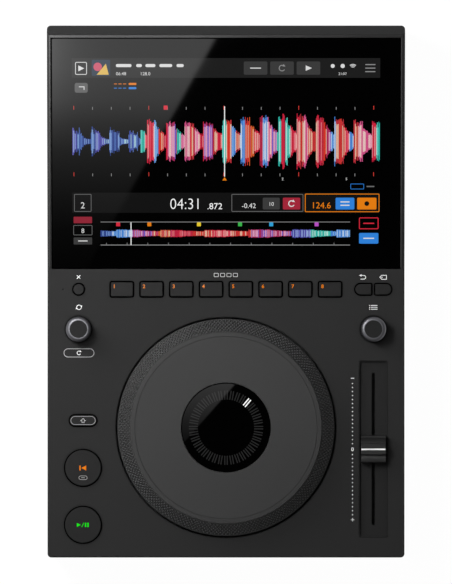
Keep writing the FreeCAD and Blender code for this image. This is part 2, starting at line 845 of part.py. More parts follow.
def make_board_screws():
    """Small pan-head screws for the boards and the jog base."""
    screws = []
    for x, y in low_board_screws():
        head = rod(x, y, small_head_radius, board_top, board_top + small_head_height)
        shank = rod(x, y, small_screw_radius, board_top - small_screw_length, board_top)
        screws.append(fused([head, shank]))
    hanging = [(x, y, key_board_top - board_thickness) for x, y in key_board_bosses()]
    ear_bottom = under_deck - base_boss_height - base_ear_thickness
    hanging += [(x, y, ear_bottom) for x, y in ear_places()]
    for x, y, seat in hanging:
        head = rod(x, y, small_head_radius, seat - small_head_height, seat)
        shank = rod(x, y, small_screw_radius, seat, seat + small_screw_length)
        screws.append(fused([head, shank]))
    return Part.makeCompound(screws)


def make_light_pipe():
    """Clear pipe that carries the status light from the board to the deck."""
    x = -column_x - light_pipe_offset
    tip = rod(x, row_y, light_pipe_radius, under_deck - 0.5, deck_height)
    stem = rod(x, row_y, 1.2, key_board_top, under_deck - 0.3)
    return fused([tip, stem])


# Knobs
def make_encoders():
    """Two rotary encoders, each with a bushing and a hollow for its push plunger."""
    bodies = []
    for side in (-1, 1):
        x = side * column_x
        top = key_board_top + encoder_height
        case = box(x - encoder_width / 2, x + encoder_width / 2, knob_y - encoder_depth / 2,
                   knob_y + encoder_depth / 2, key_board_top, top)
        bushing = rod(x, knob_y, bushing_radius, top, deck_height - 0.5)
        bore = rod(x, knob_y, shaft_radius + shaft_clearance, key_board_top + 1.5, deck_height)
        bodies.append(fused([case, bushing]).cut(bore))
    return Part.makeCompound(bodies)


plunger_bottom = key_board_top + 1.5 + knob_travel + plunger_clearance
shaft_bottom = plunger_bottom + plunger_height + shaft_clearance
knob_bottom = deck_height + knob_travel + knob_clearance
knob_top = knob_bottom + knob_height


def make_plunger(x):
    """Push plunger under the shaft, which moves down with it and doesn't turn."""
    return rod(x, knob_y, plunger_radius, plunger_bottom, plunger_bottom + plunger_height)


def make_shaft(x):
    """Shaft with a flat that the knob is pushed on to."""
    shaft = rod(x, knob_y, shaft_radius, shaft_bottom, knob_top - 3.5)
    flat = box(x + shaft_radius - 1.0, x + shaft_radius + 1, knob_y - 5, knob_y + 5, knob_bottom,
               knob_top)
    return shaft.cut(flat)


def make_knob(x):
    """Turned knob with a rounded rim, a fluted side and a sunk seat for its centre disc."""
    arc_centre_r = knob_radius - knob_edge_round
    arc_centre_z = knob_top - knob_edge_round
    mid = math.radians(45)
    a = Vector(x + knob_radius, knob_y, arc_centre_z)
    b = Vector(x + arc_centre_r + knob_edge_round * math.cos(mid), knob_y,
               arc_centre_z + knob_edge_round * math.sin(mid))
    c = Vector(x + arc_centre_r, knob_y, knob_top)
    seat = knob_top - knob_disc_sink - knob_disc_thickness
    points = [c, Vector(x + knob_disc_radius, knob_y, knob_top), Vector(x + knob_disc_radius, knob_y, seat),
              Vector(x, knob_y, seat), Vector(x, knob_y, knob_bottom),
              Vector(x + knob_radius, knob_y, knob_bottom), a]
    edges = [Part.Arc(a, b, c).toShape()]
    for start, end in zip(points[:-1], points[1:]):
        if start.distanceToPoint(end) > 1e-6:
            edges.append(Part.LineSegment(start, end).toShape())
    face = Part.Face(Part.Wire(Part.__sortEdges__(edges)))
    body = face.revolve(Vector(x, knob_y, 0), Vector(0, 0, 1), 360)
    flutes = [rod(px, py, knob_flute_radius, knob_bottom - 1, arc_centre_z - 0.4)
              for px, py in ring_points(x, knob_y, knob_radius + 0.15, knob_flute_count)]
    hollow = tube(x, knob_y, knob_radius - 1.6, shaft_radius + 1.6, knob_bottom - 1, knob_bottom + 5.5)
    socket = make_shaft(x)
    return body.cut(flutes + [hollow, socket])


def make_knob_disc(x):
    """Dark disc let into the knob's top."""
    seat = knob_top - knob_disc_sink - knob_disc_thickness
    return rod(x, knob_y, knob_disc_radius - 0.02, seat, seat + knob_disc_thickness)


# Tempo fader
def make_fader_trough():
    """Plate under the deck's recess, with a raised rim inside it and the lever's slot."""
    plate = fader_recess(trough_border, trough_bottom, under_deck)
    rim = fader_recess(-0.15, under_deck, deck_height - 0.6)
    rim = rim.cut(fader_recess(-0.75, under_deck - 1, deck_height))
    slot = rounded(column_x, fader_y, slot_width, slot_length, slot_width / 2 - 0.05,
                   slot_width / 2 - 0.05, trough_bottom - 1, under_deck + 1)
    return fused([plate, rim]).cut(slot)


fader_body_length = slot_length + 2 * fader_end_margin
fader_body_bottom = trough_bottom - fader_body_height
rail_z = fader_body_bottom + fader_body_wall + carriage_height / 2 + 0.6


def rail_places():
    return [column_x - rail_spacing / 2, column_x + rail_spacing / 2]


def make_fader_body():
    """Folded metal channel, open along the slot, with the rails held in its ends."""
    half = fader_body_width / 2
    length = fader_body_length / 2
    body = box(column_x - half, column_x + half, fader_y - length, fader_y + length, fader_body_bottom,
               trough_bottom)
    room = box(column_x - half + fader_body_wall, column_x + half - fader_body_wall,
               fader_y - length + fader_body_wall, fader_y + length - fader_body_wall,
               fader_body_bottom + fader_body_wall, trough_bottom - fader_body_wall)
    slot = box(column_x - slot_width / 2, column_x + slot_width / 2, fader_y - slot_length / 2,
               fader_y + slot_length / 2, trough_bottom - 2 * fader_body_wall, trough_bottom + 1)
    rails = [rod_y(x, rail_z, rail_radius + 0.01, fader_y - length - 1, fader_y + length + 1)
             for x in rail_places()]
    return body.cut([room, slot] + rails)


def make_fader_rails():
    length = fader_body_length / 2
    return Part.makeCompound([rod_y(x, rail_z, rail_radius, fader_y - length, fader_y + length)
                              for x in rail_places()])


cap_bottom = under_deck + cap_float
lever_top = cap_bottom + lever_grip


def make_fader_lever():
    """Carriage on the two rails, with the flat lever that goes up through the slot."""
    carriage = box(column_x - carriage_width / 2, column_x + carriage_width / 2,
                   fader_y - carriage_length / 2, fader_y + carriage_length / 2,
                   rail_z - carriage_height / 2, rail_z + carriage_height / 2)
    lever = box(column_x - lever_thickness / 2, column_x + lever_thickness / 2,
                fader_y - lever_length / 2, fader_y + lever_length / 2,
                rail_z + carriage_height / 2, lever_top)
    bores = [rod_y(x, rail_z, rail_radius + rail_clearance, fader_y - 20, fader_y + 20)
             for x in rail_places()]
    return fused([carriage, lever]).cut(bores)


def make_fader_cap():
    """Cap with a middle ridge, and on each side of it a scoop that is deepest at the ridge's foot."""
    top = cap_bottom + cap_height
    brow = top - cap_end_drop
    valley = top - cap_scoop_depth
    end = cap_length / 2
    brow_y = end - cap_end_width
    ridge = cap_ridge_length / 2
    foot = ridge + cap_ridge_side

    def arc(y_from, z_from, y_to, z_to, dip):
        middle = Vector(0, (y_from + y_to) / 2, (z_from + z_to) / 2 - dip)
        return Part.Arc(Vector(0, y_from, z_from), middle, Vector(0, y_to, z_to)).toShape()

    def line(y_from, z_from, y_to, z_to):
        return Part.LineSegment(Vector(0, y_from, z_from), Vector(0, y_to, z_to)).toShape()

    edges = [line(-end, cap_bottom, end, cap_bottom), line(ridge, top, -ridge, top)]
    for side in (-1, 1):
        edges += [line(side * end, cap_bottom, side * (end - 0.8), brow - 0.4),
                  line(side * (end - 0.8), brow - 0.4, side * brow_y, brow),
                  arc(side * brow_y, brow, side * foot, valley, 0.35),
                  line(side * foot, valley, side * ridge, top)]
    face = Part.Face(Part.Wire(Part.__sortEdges__(edges)))
    body = face.extrude(Vector(cap_width, 0, 0))
    body.translate(Vector(column_x - cap_width / 2, fader_y, 0))
    upright = rounded(column_x, fader_y, cap_width, cap_length, 0.8, 0.8, cap_bottom - 1, top + 1)
    body = body.common(upright)
    under = box(column_x - cap_width / 2 + 1.6, column_x + cap_width / 2 - 1.6, fader_y - end + 2.2,
                fader_y + end - 2.2, cap_bottom - 1, cap_bottom + 3.0)
    stem = box(column_x - 2.6, column_x + 2.6, fader_y - 4.0, fader_y + 4.0, cap_bottom,
               cap_bottom + 4.0)
    fit = lever_fit
    pocket = box(column_x - lever_thickness / 2 - fit, column_x + lever_thickness / 2 + fit,
                 fader_y - lever_length / 2 - fit, fader_y + lever_length / 2 + fit, cap_bottom - 1,
                 lever_top)
    return body.cut(under.cut(stem)).cut(pocket)


# Jog wheel
def make_jog_base():
    """Dish under the deck with a hollow centre post, a rim that meets the deck and screw ears."""
    floor_bottom = base_floor_top - base_thickness
    profile = [(post_bore_radius, floor_bottom), (base_rim_outer, floor_bottom),
               (base_rim_outer, under_deck), (base_rim_inner, under_deck),
               (base_rim_inner, base_floor_top), (post_outer_radius, base_floor_top),
               (post_outer_radius, post_top), (post_bore_radius, post_top)]
    dish = turned(profile)
    ear_top = under_deck - base_boss_height
    ears = []
    holes = []
    for index, (x, y) in enumerate(ear_places()):
        angle = math.radians(45.0 + 360.0 * index / base_ear_count)
        inner_r = base_rim_outer - 1.0
        tip = rod(x, y, base_ear_radius, ear_top - base_ear_thickness, ear_top)
        ix, iy = inner_r * math.cos(angle), jog_y + inner_r * math.sin(angle)
        root = rod(ix, iy, base_ear_radius, ear_top - base_ear_thickness, ear_top)
        ears.append(tip)
        ears.append(root.cut(rod(0, jog_y, base_rim_inner + 0.5, ear_top - 9, ear_top + 9)))
        holes.append(rod(x, y, small_screw_radius + 0.2, ear_top - 9, ear_top + 1))
    return dish.multiFuse(ears).removeSplitter().cut(holes)


def make_jog_bearing():
    """Flanged sleeve on the post, which the hub turns on."""
    bore = post_outer_radius + 0.02
    flange_top = base_floor_top + bearing_flange_thickness
    return turned([(bore, base_floor_top), (bearing_flange_radius, base_floor_top),
                   (bearing_flange_radius, flange_top), (bearing_outer, flange_top),
                   (bearing_outer, hub_flange_top + hub_rise_above_flange + 0.5),
                   (bore, hub_flange_top + hub_rise_above_flange + 0.5)])


def make_jog_hub():
    """Sleeve and flange that carry the ring, with a collar over the slotted disc and light holes."""
    flange_bottom = hub_flange_top - hub_flange_thickness
    top = hub_flange_top + hub_rise_above_flange
    hub = turned([(hub_bore, hub_bottom), (hub_outer, hub_bottom), (hub_outer, disc_top),
                  (hub_collar_radius, disc_top), (hub_collar_radius, flange_bottom),
                  (hub_flange_radius, flange_bottom), (hub_flange_radius, hub_flange_top),
                  (hub_outer, hub_flange_top), (hub_outer, top), (hub_bore, top)])
    holes = [rod(x, y, hub_window_radius, flange_bottom - 1, hub_flange_top + 1)
             for x, y in ring_points(0, jog_y, hub_window_circle, hub_window_count)]
    return hub.cut(holes)


def make_encoder_disc():
    """Thin disc with a row of slots near its edge, which the sensor counts."""
    outer = rod(0, jog_y, disc_radius, disc_top - disc_thickness, disc_top)
    bore = rod(0, jog_y, hub_outer + disc_clearance, disc_top - 5, disc_top + 5)
    r1 = disc_radius - disc_slot_margin
    width = math.pi * r1 / disc_slot_count
    slot = box(r1 - disc_slot_length, r1, -width / 2, width / 2, disc_top - 5, disc_top + 5)
    slot.translate(Vector(0, jog_y, 0))
    slots = []
    for index in range(disc_slot_count):
        copy = slot.copy()
        copy.rotate(Vector(0, jog_y, 0), Vector(0, 0, 1), 360.0 * index / disc_slot_count)
        slots.append(copy)
    return outer.cut([bore] + slots)


def make_jog_sensor():
    """Optical fork that stands on the base and straddles the slotted disc."""
    inner = disc_radius - sensor_inset
    outer = disc_radius + sensor_reach
    top = disc_top + sensor_cap
    block = box(inner, outer, -sensor_width / 2, sensor_width / 2, base_floor_top, top)
    fork = box(inner - 1, disc_radius + 1.0, -sensor_width, sensor_width,
               disc_top - disc_thickness - sensor_gap, disc_top + sensor_gap)
    sensor = block.cut(fork)
    sensor.rotate(Vector(0, 0, 0), Vector(0, 0, 1), 90)
    sensor.translate(Vector(0, jog_y, 0))
    return sensor


def make_jog_ring():
    """Grip ring: skirt in the deck's opening, sloping knurled face, shelf and inner foot on the hub."""
    radius = jog_ring_radius
    inner = radius - ring_wall
    skirt_bottom = deck_height - jog_skirt
    shoulder = deck_height + jog_shoulder
    crest = jog_top - ring_crest_drop
    crest_r = plate_radius + plate_gap
    foot_r = foot_radius_of_ring
    shelf_bottom = shelf_top - shelf_thickness
    slope = (crest - shoulder) / (radius - crest_r)
    under_r = inner - (shelf_bottom - shoulder + 1.0) / slope
    return turned([(radius, skirt_bottom), (radius, shoulder), (crest_r, crest), (crest_r, shelf_top),
                   (foot_r, shelf_top), (foot_r, hub_flange_top), (foot_r + ring_wall, hub_flange_top),
                   (foot_r + ring_wall, shelf_bottom), (under_r, shelf_bottom),
                   (inner, shoulder - 1.0), (inner, skirt_bottom)])


def make_touch_switch():
    """Thin sheet switch on the ring's shelf, closed when the plate is pressed."""
    outer = plate_radius - 0.7
    inner = outer - touch_switch_width
    return tube(0, jog_y, outer, inner, shelf_top, shelf_top + touch_switch_thickness)


def make_jog_plate():
    """Top plate with a bevelled edge, a fine groove where the bevel starts and a hole for the window."""
    bore = window_radius + window_gap
    flat = plate_radius - plate_edge_width
    half = plate_groove_width / 2
    return turned([(bore, plate_bottom), (bore, jog_top), (flat - half, jog_top),
                   (flat, jog_top - plate_groove_depth), (flat + half, jog_top),
                   (plate_radius, jog_top - plate_edge_drop), (plate_radius, plate_bottom)])


def make_jog_window():
    """Black lens over the fixed centre display, with a skirt round it."""
    top = jog_top - window_sink
    seat = top - window_thickness
    inner = window_radius - 1.1
    return turned([(0, seat), (inner, seat), (inner, seat - window_skirt),
                   (window_radius, seat - window_skirt), (window_radius, top - window_edge),
                   (window_radius - window_edge, top), (0, top)])


def make_jog_display():
    """Round display module on the post's end."""
    radius = window_radius - 1.1 - display_clearance
    return rod(0, jog_y, radius, post_top, post_top + display_thickness)


# Rear panel and sockets
def socket_z():
    return board_top + coax_height


def inlet_cavity(y0, y1):
    """Rounded slot that a two-pole plug goes into."""
    slot = rounded(0, 0, 15.6, 8.8, 4.35, 4.35, 0, y1 - y0)
    slot.rotate(Vector(0, 0, 0), Vector(1, 0, 0), -90)
    slot.translate(Vector(power_inlet_x, y0, socket_z() + 1.5))
    return slot


def rear_cutouts():
    """Holes in the rear panel: one for each socket and the power button."""
    y0, y1 = panel_back_y - 5, rear_y
    z = socket_z()
    c = socket_clearance
    holes = [rod_y(x, z, coax_bush_radius + c, y0, y1) for x in coax_places]
    holes.append(box(usb_drive_x - 6.6 - c, usb_drive_x + 6.6 + c, y0, y1, board_top - c + 1.6,
                     board_top + 7.4 + c))
    holes.append(box(usb_computer_x - 6 - c, usb_computer_x + 6 + c, y0, y1, board_top - c,
                     board_top + 11 + c))
    holes.append(box(network_x - 8 - c, network_x + 8 + c, y0, y1, board_top - c, board_top + 13.5 + c))
    holes.append(rod_y(power_button_x, z, power_button_radius + 0.4, y0, y1))
    holes.append(box(power_inlet_x - 11 - c, power_inlet_x + 11 + c, y0, y1, board_top - c,
                     board_top + 15 + c))
    return holes


def make_rear_panel():
    """Steel plate behind the sockets, with a row of vent slots above them."""
    x = half_width - wall - socket_clearance
    plate = box(-x, x, panel_back_y, panel_front_face_y, floor_top, recess_height)
    vents = []
    for index in range(rear_vent_count):
        vent_x = rear_vent_first_x + index * rear_vent_pitch
        vents.append(box(vent_x, vent_x + rear_vent_width, panel_back_y - 1, panel_front_face_y + 1,
                         rear_vent_bottom, rear_vent_top))
    return plate.cut(rear_cutouts() + vents)


def make_coax_jacks():
    """Three round jacks: a block on the board, a bush in the panel's hole and a barrel for the plug."""
    z = socket_z()
    bush_end = panel_front_face_y + coax_bush_proud
    tip = bush_end + coax_length
    jacks = []
    for x in coax_places:
        block = box(x - coax_body / 2, x + coax_body / 2, panel_back_y - coax_body_depth, panel_back_y,
                    board_top, z + coax_body / 2)
        bush = rod_y(x, z, coax_bush_radius, panel_back_y - 1, bush_end)
        barrel = rod_y(x, z, coax_radius, bush_end - 1, tip)
        bore = rod_y(x, z, coax_bore_radius, tip - coax_bore_depth, tip + 1)
        jacks.append(fused([block, bush, barrel]).cut(bore))
    return Part.makeCompound(jacks)


def make_usb_drive_port():
    """Flat socket with a thin shell and a tongue."""
    x = usb_drive_x
    z0, z1 = board_top + 1.6, board_top + 7.4
    y0, y1 = panel_back_y - 13, panel_front_face_y + 0.5
    shell = box(x - 6.6, x + 6.6, y0, y1, z0, z1)
    cavity = box(x - 6.2, x + 6.2, y0 + 1.5, y1 + 1, z0 + 0.4, z1 - 0.4)
    tongue = box(x - 5.6, x + 5.6, y0 + 1, y1 - 1.2, z1 - 2.7, z1 - 0.9)
    base = box(x - 6.0, x + 6.0, y0 + 0.5, y0 + 11, board_top, z0)
    return fused([shell.cut(cavity), tongue, base])


def make_usb_computer_port():
    """Square socket with a square tongue."""
    x = usb_computer_x
    z0, z1 = board_top, board_top + 11.0
    y0, y1 = panel_back_y - 15, panel_front_face_y + 0.5
    shell = box(x - 6, x + 6, y0, y1, z0, z1)
    cavity = box(x - 4.2, x + 4.2, y0 + 2, y1 + 1, z0 + 1.6, z0 + 9.4)
    tongue = box(x - 2.8, x + 2.8, y0 + 1, y1 - 1.2, z0 + 3.9, z0 + 7.1)
    return fused([shell.cut(cavity), tongue])


def make_network_jack():
    """Eight-way modular socket with its latch notch."""
    x = network_x
    z0, z1 = board_top, board_top + 13.5
    y0, y1 = panel_back_y - 18, panel_front_face_y + 0.5
    shell = box(x - 8, x + 8, y0, y1, z0, z1)
    cavity = box(x - 5.9, x + 5.9, y1 - 13, y1 + 1, z0 + 4.0, z0 + 12.0)
    notch = box(x - 3.0, x + 3.0, y1 - 8, y1 + 1, z0 + 1.8, z0 + 5.0)
    return shell.cut([cavity, notch])


def make_power_inlet():
    """Two-pin mains inlet."""
    x = power_inlet_x
    z = socket_z() + 1.5
    y0, y1 = panel_back_y - 17, panel_front_face_y + 0.8
    block = box(x - 11, x + 11, y0, y1, board_top, board_top + 15.0)
    cavity = inlet_cavity(y1 - 13.0, y1 + 1)
    pins = [rod_y(x + side * inlet_pin_spacing / 2, z, inlet_pin_radius, y1 - 14.0, y1 - 2.0)
            for side in (-1, 1)]
    return fused([block.cut(cavity)] + pins)


def power_stem_end():
    return panel_back_y - key_flange_clearance - key_flange_thickness - 6.0


def make_power_button():
    """Round button with a flange behind the panel and a stem to its switch."""
    z = socket_z()
    x = power_button_x
    flange_y = panel_back_y - key_flange_clearance
    cap = rod_y(x, z, power_button_radius, flange_y - 0.5, panel_front_face_y + power_button_proud)
    rim = [edge for edge in cap.Edges if edge.BoundBox.YMin > panel_front_face_y + power_button_proud - 0.01]
    cap = cap.makeChamfer(key_edge, rim)
    flange = rod_y(x, z, power_button_radius + key_flange_overlap, flange_y - key_flange_thickness,
                   flange_y)
    stem = rod_y(x, z, 2.0, power_stem_end(), flange_y - 0.5)
    return fused([cap, flange, stem])


def ribbon(points, x, width):
    """Flat cable: a path of (y, z) points in straight runs and bends, given a width and a thickness."""
    edges = []
    corner_points = [Vector(x - width / 2, y, z) for y, z in points]
    last = corner_points[0]
    for index in range(1, len(corner_points) - 1):
        corner = corner_points[index]
        back = (corner_points[index - 1] - corner).normalize()
        ahead = (corner_points[index + 1] - corner).normalize()
        half_turn = (math.pi - back.getAngle(ahead)) / 2
        reach = ribbon_bend * math.tan(half_turn)
        start = corner + back * reach
        end = corner + ahead * reach
        to_centre = (back + ahead).normalize()
        centre = corner + to_centre * (ribbon_bend / math.cos(half_turn))
        middle = centre - to_centre * ribbon_bend
        edges.append(Part.LineSegment(last, start).toShape())
        edges.append(Part.Arc(start, middle, end).toShape())
        last = end
    edges.append(Part.LineSegment(last, corner_points[-1]).toShape())
    path = Part.Wire(edges)
    first = corner_points[0]
    ahead = (corner_points[1] - first).normalize()
    side = ahead.cross(Vector(1, 0, 0)) * (ribbon_thickness / 2)
    across = Vector(width, 0, 0)
    corners = [first + side, first + side + across, first - side + across, first - side]
    profile = Part.Wire(Part.makePolygon(corners + corners[:1]).Edges)
    return path.makePipeShell([profile], True, False)


def make_ribbon_cables():
    """Ribbons from the main board to the key board, the jog display and the screen."""
    sockets = ribbon_sockets()
    plug_z = board_top + ribbon_socket_height
    key_x, key_socket_y, _ = sockets[0]
    key_end = key_board_top - board_thickness
    key_y = row_y + 6.0
    key_mid = (plug_z + key_end) / 2
    key = ribbon([(key_socket_y, plug_z), (key_socket_y, key_mid), (key_y, key_mid), (key_y, key_end)],
                 key_x, key_ribbon_width)
    jog_x, jog_socket_y, _ = sockets[1]
    low = base_floor_top - base_thickness - 4.0
    jog = ribbon([(jog_socket_y, plug_z), (jog_socket_y, low), (jog_y, low), (jog_y, post_top)],
                 jog_x, jog_ribbon_width)
    screen_x, screen_socket_y, _ = sockets[2]
    top_y = screen_y + bracket_window_rows()[0] * math.cos(tilt)
    back_depth = glass_thickness + panel_thickness
    top_z = slope_z(top_y, back_depth) - 0.15
    bend_z = (plug_z + top_z) / 2
    screen = ribbon([(screen_socket_y, plug_z), (screen_socket_y, bend_z - 8), (top_y, bend_z + 8),
                     (top_y, top_z)], screen_x, display_ribbon_width)
    return Part.makeCompound([key, jog, screen])


def build():
    pieces = {
        "bottom_chassis": make_bottom_chassis(),
        "rubber_feet": make_rubber_feet(),
        "top_cover": make_top_cover(),
        "case_screws": make_case_screws(),
        "cover_glass": make_cover_glass(),
        "display_panel": make_display_panel(),
        "display_bracket": make_display_bracket(),
        "rear_panel": make_rear_panel(),
        "main_board": make_main_board(),
        "power_board": make_power_board(),
        "upper_key_board": make_upper_key_board(),
        "side_key_board": make_side_key_board(),
        "key_switches": make_key_switches(),
        "board_screws": make_board_screws(),
        "status_light_pipe": make_light_pipe(),
        "encoder_bodies": make_encoders(),
        "fader_trough": make_fader_trough(),
        "fader_body": make_fader_body(),
        "fader_rails": make_fader_rails(),
        "fader_lever": make_fader_lever(),
        "fader_cap": make_fader_cap(),
        "jog_base": make_jog_base(),
        "jog_bearing": make_jog_bearing(),
        "jog_hub": make_jog_hub(),
        "encoder_disc": make_encoder_disc(),
        "jog_sensor": make_jog_sensor(),
        "jog_ring": make_jog_ring(),
        "touch_switch": make_touch_switch(),
        "jog_plate": make_jog_plate(),
        "jog_window": make_jog_window(),
        "jog_display": make_jog_display(),
        "coax_jacks": make_coax_jacks(),
        "usb_drive_port": make_usb_drive_port(),
        "usb_computer_port": make_usb_computer_port(),
        "network_jack": make_network_jack(),
        "power_inlet": make_power_inlet(),
        "power_button": make_power_button(),
        "ribbon_cables": make_ribbon_cables()}
    for name, x in (("browse", column_x), ("loop", -column_x)):
        pieces[name + "_plunger"] = make_plunger(x)
        pieces[name + "_shaft"] = make_shaft(x)
        pieces[name + "_knob"] = make_knob(x)
        pieces[name + "_knob_disc"] = make_knob_disc(x)
    for key in key_layout():
        pieces[key["name"]] = make_key(key)
    return pieces


for piece_name, piece in build().items():
    save(piece_name, piece)
    print(piece_name, len(piece.Solids), round(piece.Volume), piece.isValid())
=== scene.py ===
"""Looks of a tabletop DJ player with a tilted touch screen, a jog wheel and a tempo fader.

Everything is in metres in the part's own frame: +X right, +Y to the screen's end, +Z up and the
table at Z = 0. Lengths are written in millimetres and multiplied by MM.
"""

import math

import bpy
import numpy as np
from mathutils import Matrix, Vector


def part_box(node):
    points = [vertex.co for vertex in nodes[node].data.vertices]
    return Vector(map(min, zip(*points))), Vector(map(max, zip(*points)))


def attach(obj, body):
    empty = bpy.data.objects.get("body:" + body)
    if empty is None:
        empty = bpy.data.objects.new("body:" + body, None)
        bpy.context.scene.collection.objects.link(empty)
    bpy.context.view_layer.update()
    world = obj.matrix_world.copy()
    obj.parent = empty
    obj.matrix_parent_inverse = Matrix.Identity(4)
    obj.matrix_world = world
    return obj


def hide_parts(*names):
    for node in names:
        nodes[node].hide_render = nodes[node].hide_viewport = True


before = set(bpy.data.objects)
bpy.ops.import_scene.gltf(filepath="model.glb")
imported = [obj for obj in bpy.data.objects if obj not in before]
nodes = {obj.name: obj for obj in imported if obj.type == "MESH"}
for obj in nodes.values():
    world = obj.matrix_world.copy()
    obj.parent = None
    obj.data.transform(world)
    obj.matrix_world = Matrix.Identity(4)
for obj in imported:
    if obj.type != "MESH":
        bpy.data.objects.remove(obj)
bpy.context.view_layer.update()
MM = 0.001

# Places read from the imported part
trough_sink = 0.6 * MM
deck_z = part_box("fader_trough")[1].z + trough_sink
glass_low, glass_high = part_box("cover_glass")
plate_low, plate_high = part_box("jog_plate")
window_low, window_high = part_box("jog_window")
ring_low, ring_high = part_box("jog_ring")
jog_centre = ((plate_low.x + plate_high.x) / 2, (plate_low.y + plate_high.y) / 2)

# Sizes that the part's boxes don't give
screen_tilt = math.radians(9.5)
glass_thickness = 2.0 * MM
screen_width = 217.0 * MM
screen_height = 135.6 * MM
screen_from_glass = 13.9 * MM
ink_lift = 0.04 * MM


# Colour
def linear(hex_colour):
    """sRGB hex to linear red, green, blue and alpha."""
    parts = [int(hex_colour[i:i + 2], 16) / 255 for i in (1, 3, 5)]
    return tuple(c / 12.92 if c <= 0.04045 else ((c + 0.055) / 1.055) ** 2.4
                 for c in parts) + (1.0,)


def add(tree, kind, inputs=None, **settings):
    """Add one node with its settings, and its inputs as values or links."""
    made = tree.nodes.new(kind)
    for name, value in settings.items():
        setattr(made, name, value)
    for name, value in (inputs or {}).items():
        if isinstance(value, bpy.types.NodeSocket):
            tree.links.new(value, made.inputs[name])
        else:
            made.inputs[name].default_value = value
    return made


def empty_tree(owner, output_kind="ShaderNodeOutputMaterial"):
    """The node tree of a material or a world, emptied, and its output's surface socket."""
    owner.use_nodes = True
    tree = owner.node_tree
    tree.nodes.clear()
    return tree, add(tree, output_kind).inputs["Surface"]


def combine(tree, operation, first, second):
    """A Math node's result for two values or links."""
    return add(tree, "ShaderNodeMath", {0: first, 1: second}, operation=operation).outputs[0]


def share_between(tree, value, low, high, **settings):
    """0 to 1 while a link's value goes from low to high."""
    return add(tree, "ShaderNodeMapRange", {"Value": value, "From Min": low, "From Max": high},
               **settings).outputs["Result"]


def mix_colours(tree, factor, first, second):
    """Blend of two colours, each a value or a link.

    A Mix node has sockets for each data type, so the colour ones are found by their type.
    """
    blend = add(tree, "ShaderNodeMix", {"Factor": factor}, data_type="RGBA")
    for socket, colour in zip([s for s in blend.inputs if s.type == "RGBA"], (first, second)):
        if isinstance(colour, bpy.types.NodeSocket):
            tree.links.new(colour, socket)
        else:
            socket.default_value = colour
    return [s for s in blend.outputs if s.type == "RGBA"][0]


def new_material(name):
    """Node material with its tree, its shader, and object coordinates in millimetres."""
    material = bpy.data.materials.new(name)
    tree, surface = empty_tree(material)
    shader = add(tree, "ShaderNodeBsdfPrincipled")
    tree.links.new(shader.outputs["BSDF"], surface)
    place = add(tree, "ShaderNodeTexCoord").outputs["Object"]
    millimetres = add(tree, "ShaderNodeVectorMath", {0: place, 1: (1 / MM,) * 3},
                      operation="MULTIPLY").outputs[0]
    return material, tree, shader, millimetres


def moulded(name, hex_colour, roughness, grain_mm=0.5, depth=0.02, mottle=0.1, specular=0.5,
            metallic=0.0, spread=0.06, painted_crevice_shade=0.0):
    """A finish with a fine grain bump, slow colour drift and uneven roughness.

    Where a gap width is given in millimetres, shade is painted into gaps about that wide, black
    with depth: colour and sheen are painted black where less than the low share of a point's sky is
    open, and plain above the high share.
    """
    drift_mm = 38.0
    material, tree, shader, millimetres = new_material(name)
    base = linear(hex_colour)
    grain = add(tree, "ShaderNodeTexNoise", {"Vector": millimetres, "Scale": 1.0 / grain_mm,
                                             "Detail": 3.0, "Roughness": 0.6}).outputs["Fac"]
    drift = add(tree, "ShaderNodeTexNoise", {"Vector": millimetres, "Scale": 1.0 / drift_mm,
                                             "Detail": 2.0}).outputs["Fac"]
    dark = tuple(c * (1 - mottle) for c in base[:3]) + (1.0,)
    light = tuple(c * (1 + mottle) for c in base[:3]) + (1.0,)
    colour = mix_colours(tree, drift, dark, light)
    shader.inputs["Specular IOR Level"].default_value = specular
    # Painted shade: colour and sheen darken where little of the sky is open
    if painted_crevice_shade:
        open_sky = add(tree, "ShaderNodeAmbientOcclusion", {"Distance": painted_crevice_shade * MM}, samples=8)
        low, high = 0.6, 0.95
        share = share_between(tree, open_sky.outputs["AO"], low, high)
        colour = mix_colours(tree, share, linear("#010101"), colour)
        tree.links.new(combine(tree, "MULTIPLY", share, specular),
                       shader.inputs["Specular IOR Level"])
    tree.links.new(colour, shader.inputs["Base Color"])
    rough = add(tree, "ShaderNodeMapRange", {"Value": grain,
                                             "To Min": max(roughness - spread, 0.02),
                                             "To Max": min(roughness + spread, 1.0)})
    tree.links.new(rough.outputs["Result"], shader.inputs["Roughness"])
    bump = add(tree, "ShaderNodeBump", {"Height": grain, "Strength": 0.5, "Distance": depth * MM})
    tree.links.new(bump.outputs["Normal"], shader.inputs["Normal"])
    shader.inputs["Metallic"].default_value = metallic
    return material


def knurled(name, painted_valley_shade, crest, roughness):
    """Knurled plastic: hollows painted dark as shade, and crests paler as wear and painted
    highlight, from heights that the mesh carries.
    """
    material = moulded(name, crest, roughness, 0.4, 0.008, 0.04)
    tree = material.node_tree
    shader = [n for n in tree.nodes if n.type == "BSDF_PRINCIPLED"][0]
    crest_wear_and_highlight = shader.inputs["Base Color"].links[0].from_socket
    # Painted shade and highlight: the colour runs from near black in the hollows to pale on the
    # crests
    height = add(tree, "ShaderNodeAttribute", attribute_name="crest").outputs["Fac"]
    share = share_between(tree, height, 0.15, 0.8, interpolation_type="SMOOTHSTEP")
    tree.links.new(mix_colours(tree, share, linear(painted_valley_shade), crest_wear_and_highlight), shader.inputs["Base Color"])
    return material


def lit_ink(name):
    """Pixels of a lit display behind polished glass, which give off the mesh's own colours."""
    material, tree, shader, _ = new_material(name)
    colour = add(tree, "ShaderNodeAttribute", attribute_name="ink").outputs["Color"]
    tree.links.new(colour, shader.inputs["Emission Color"])
    shader.inputs["Emission Strength"].default_value = 1.0
    shader.inputs["Base Color"].default_value = linear("#050505")
    shader.inputs["Roughness"].default_value = 0.04
    return material


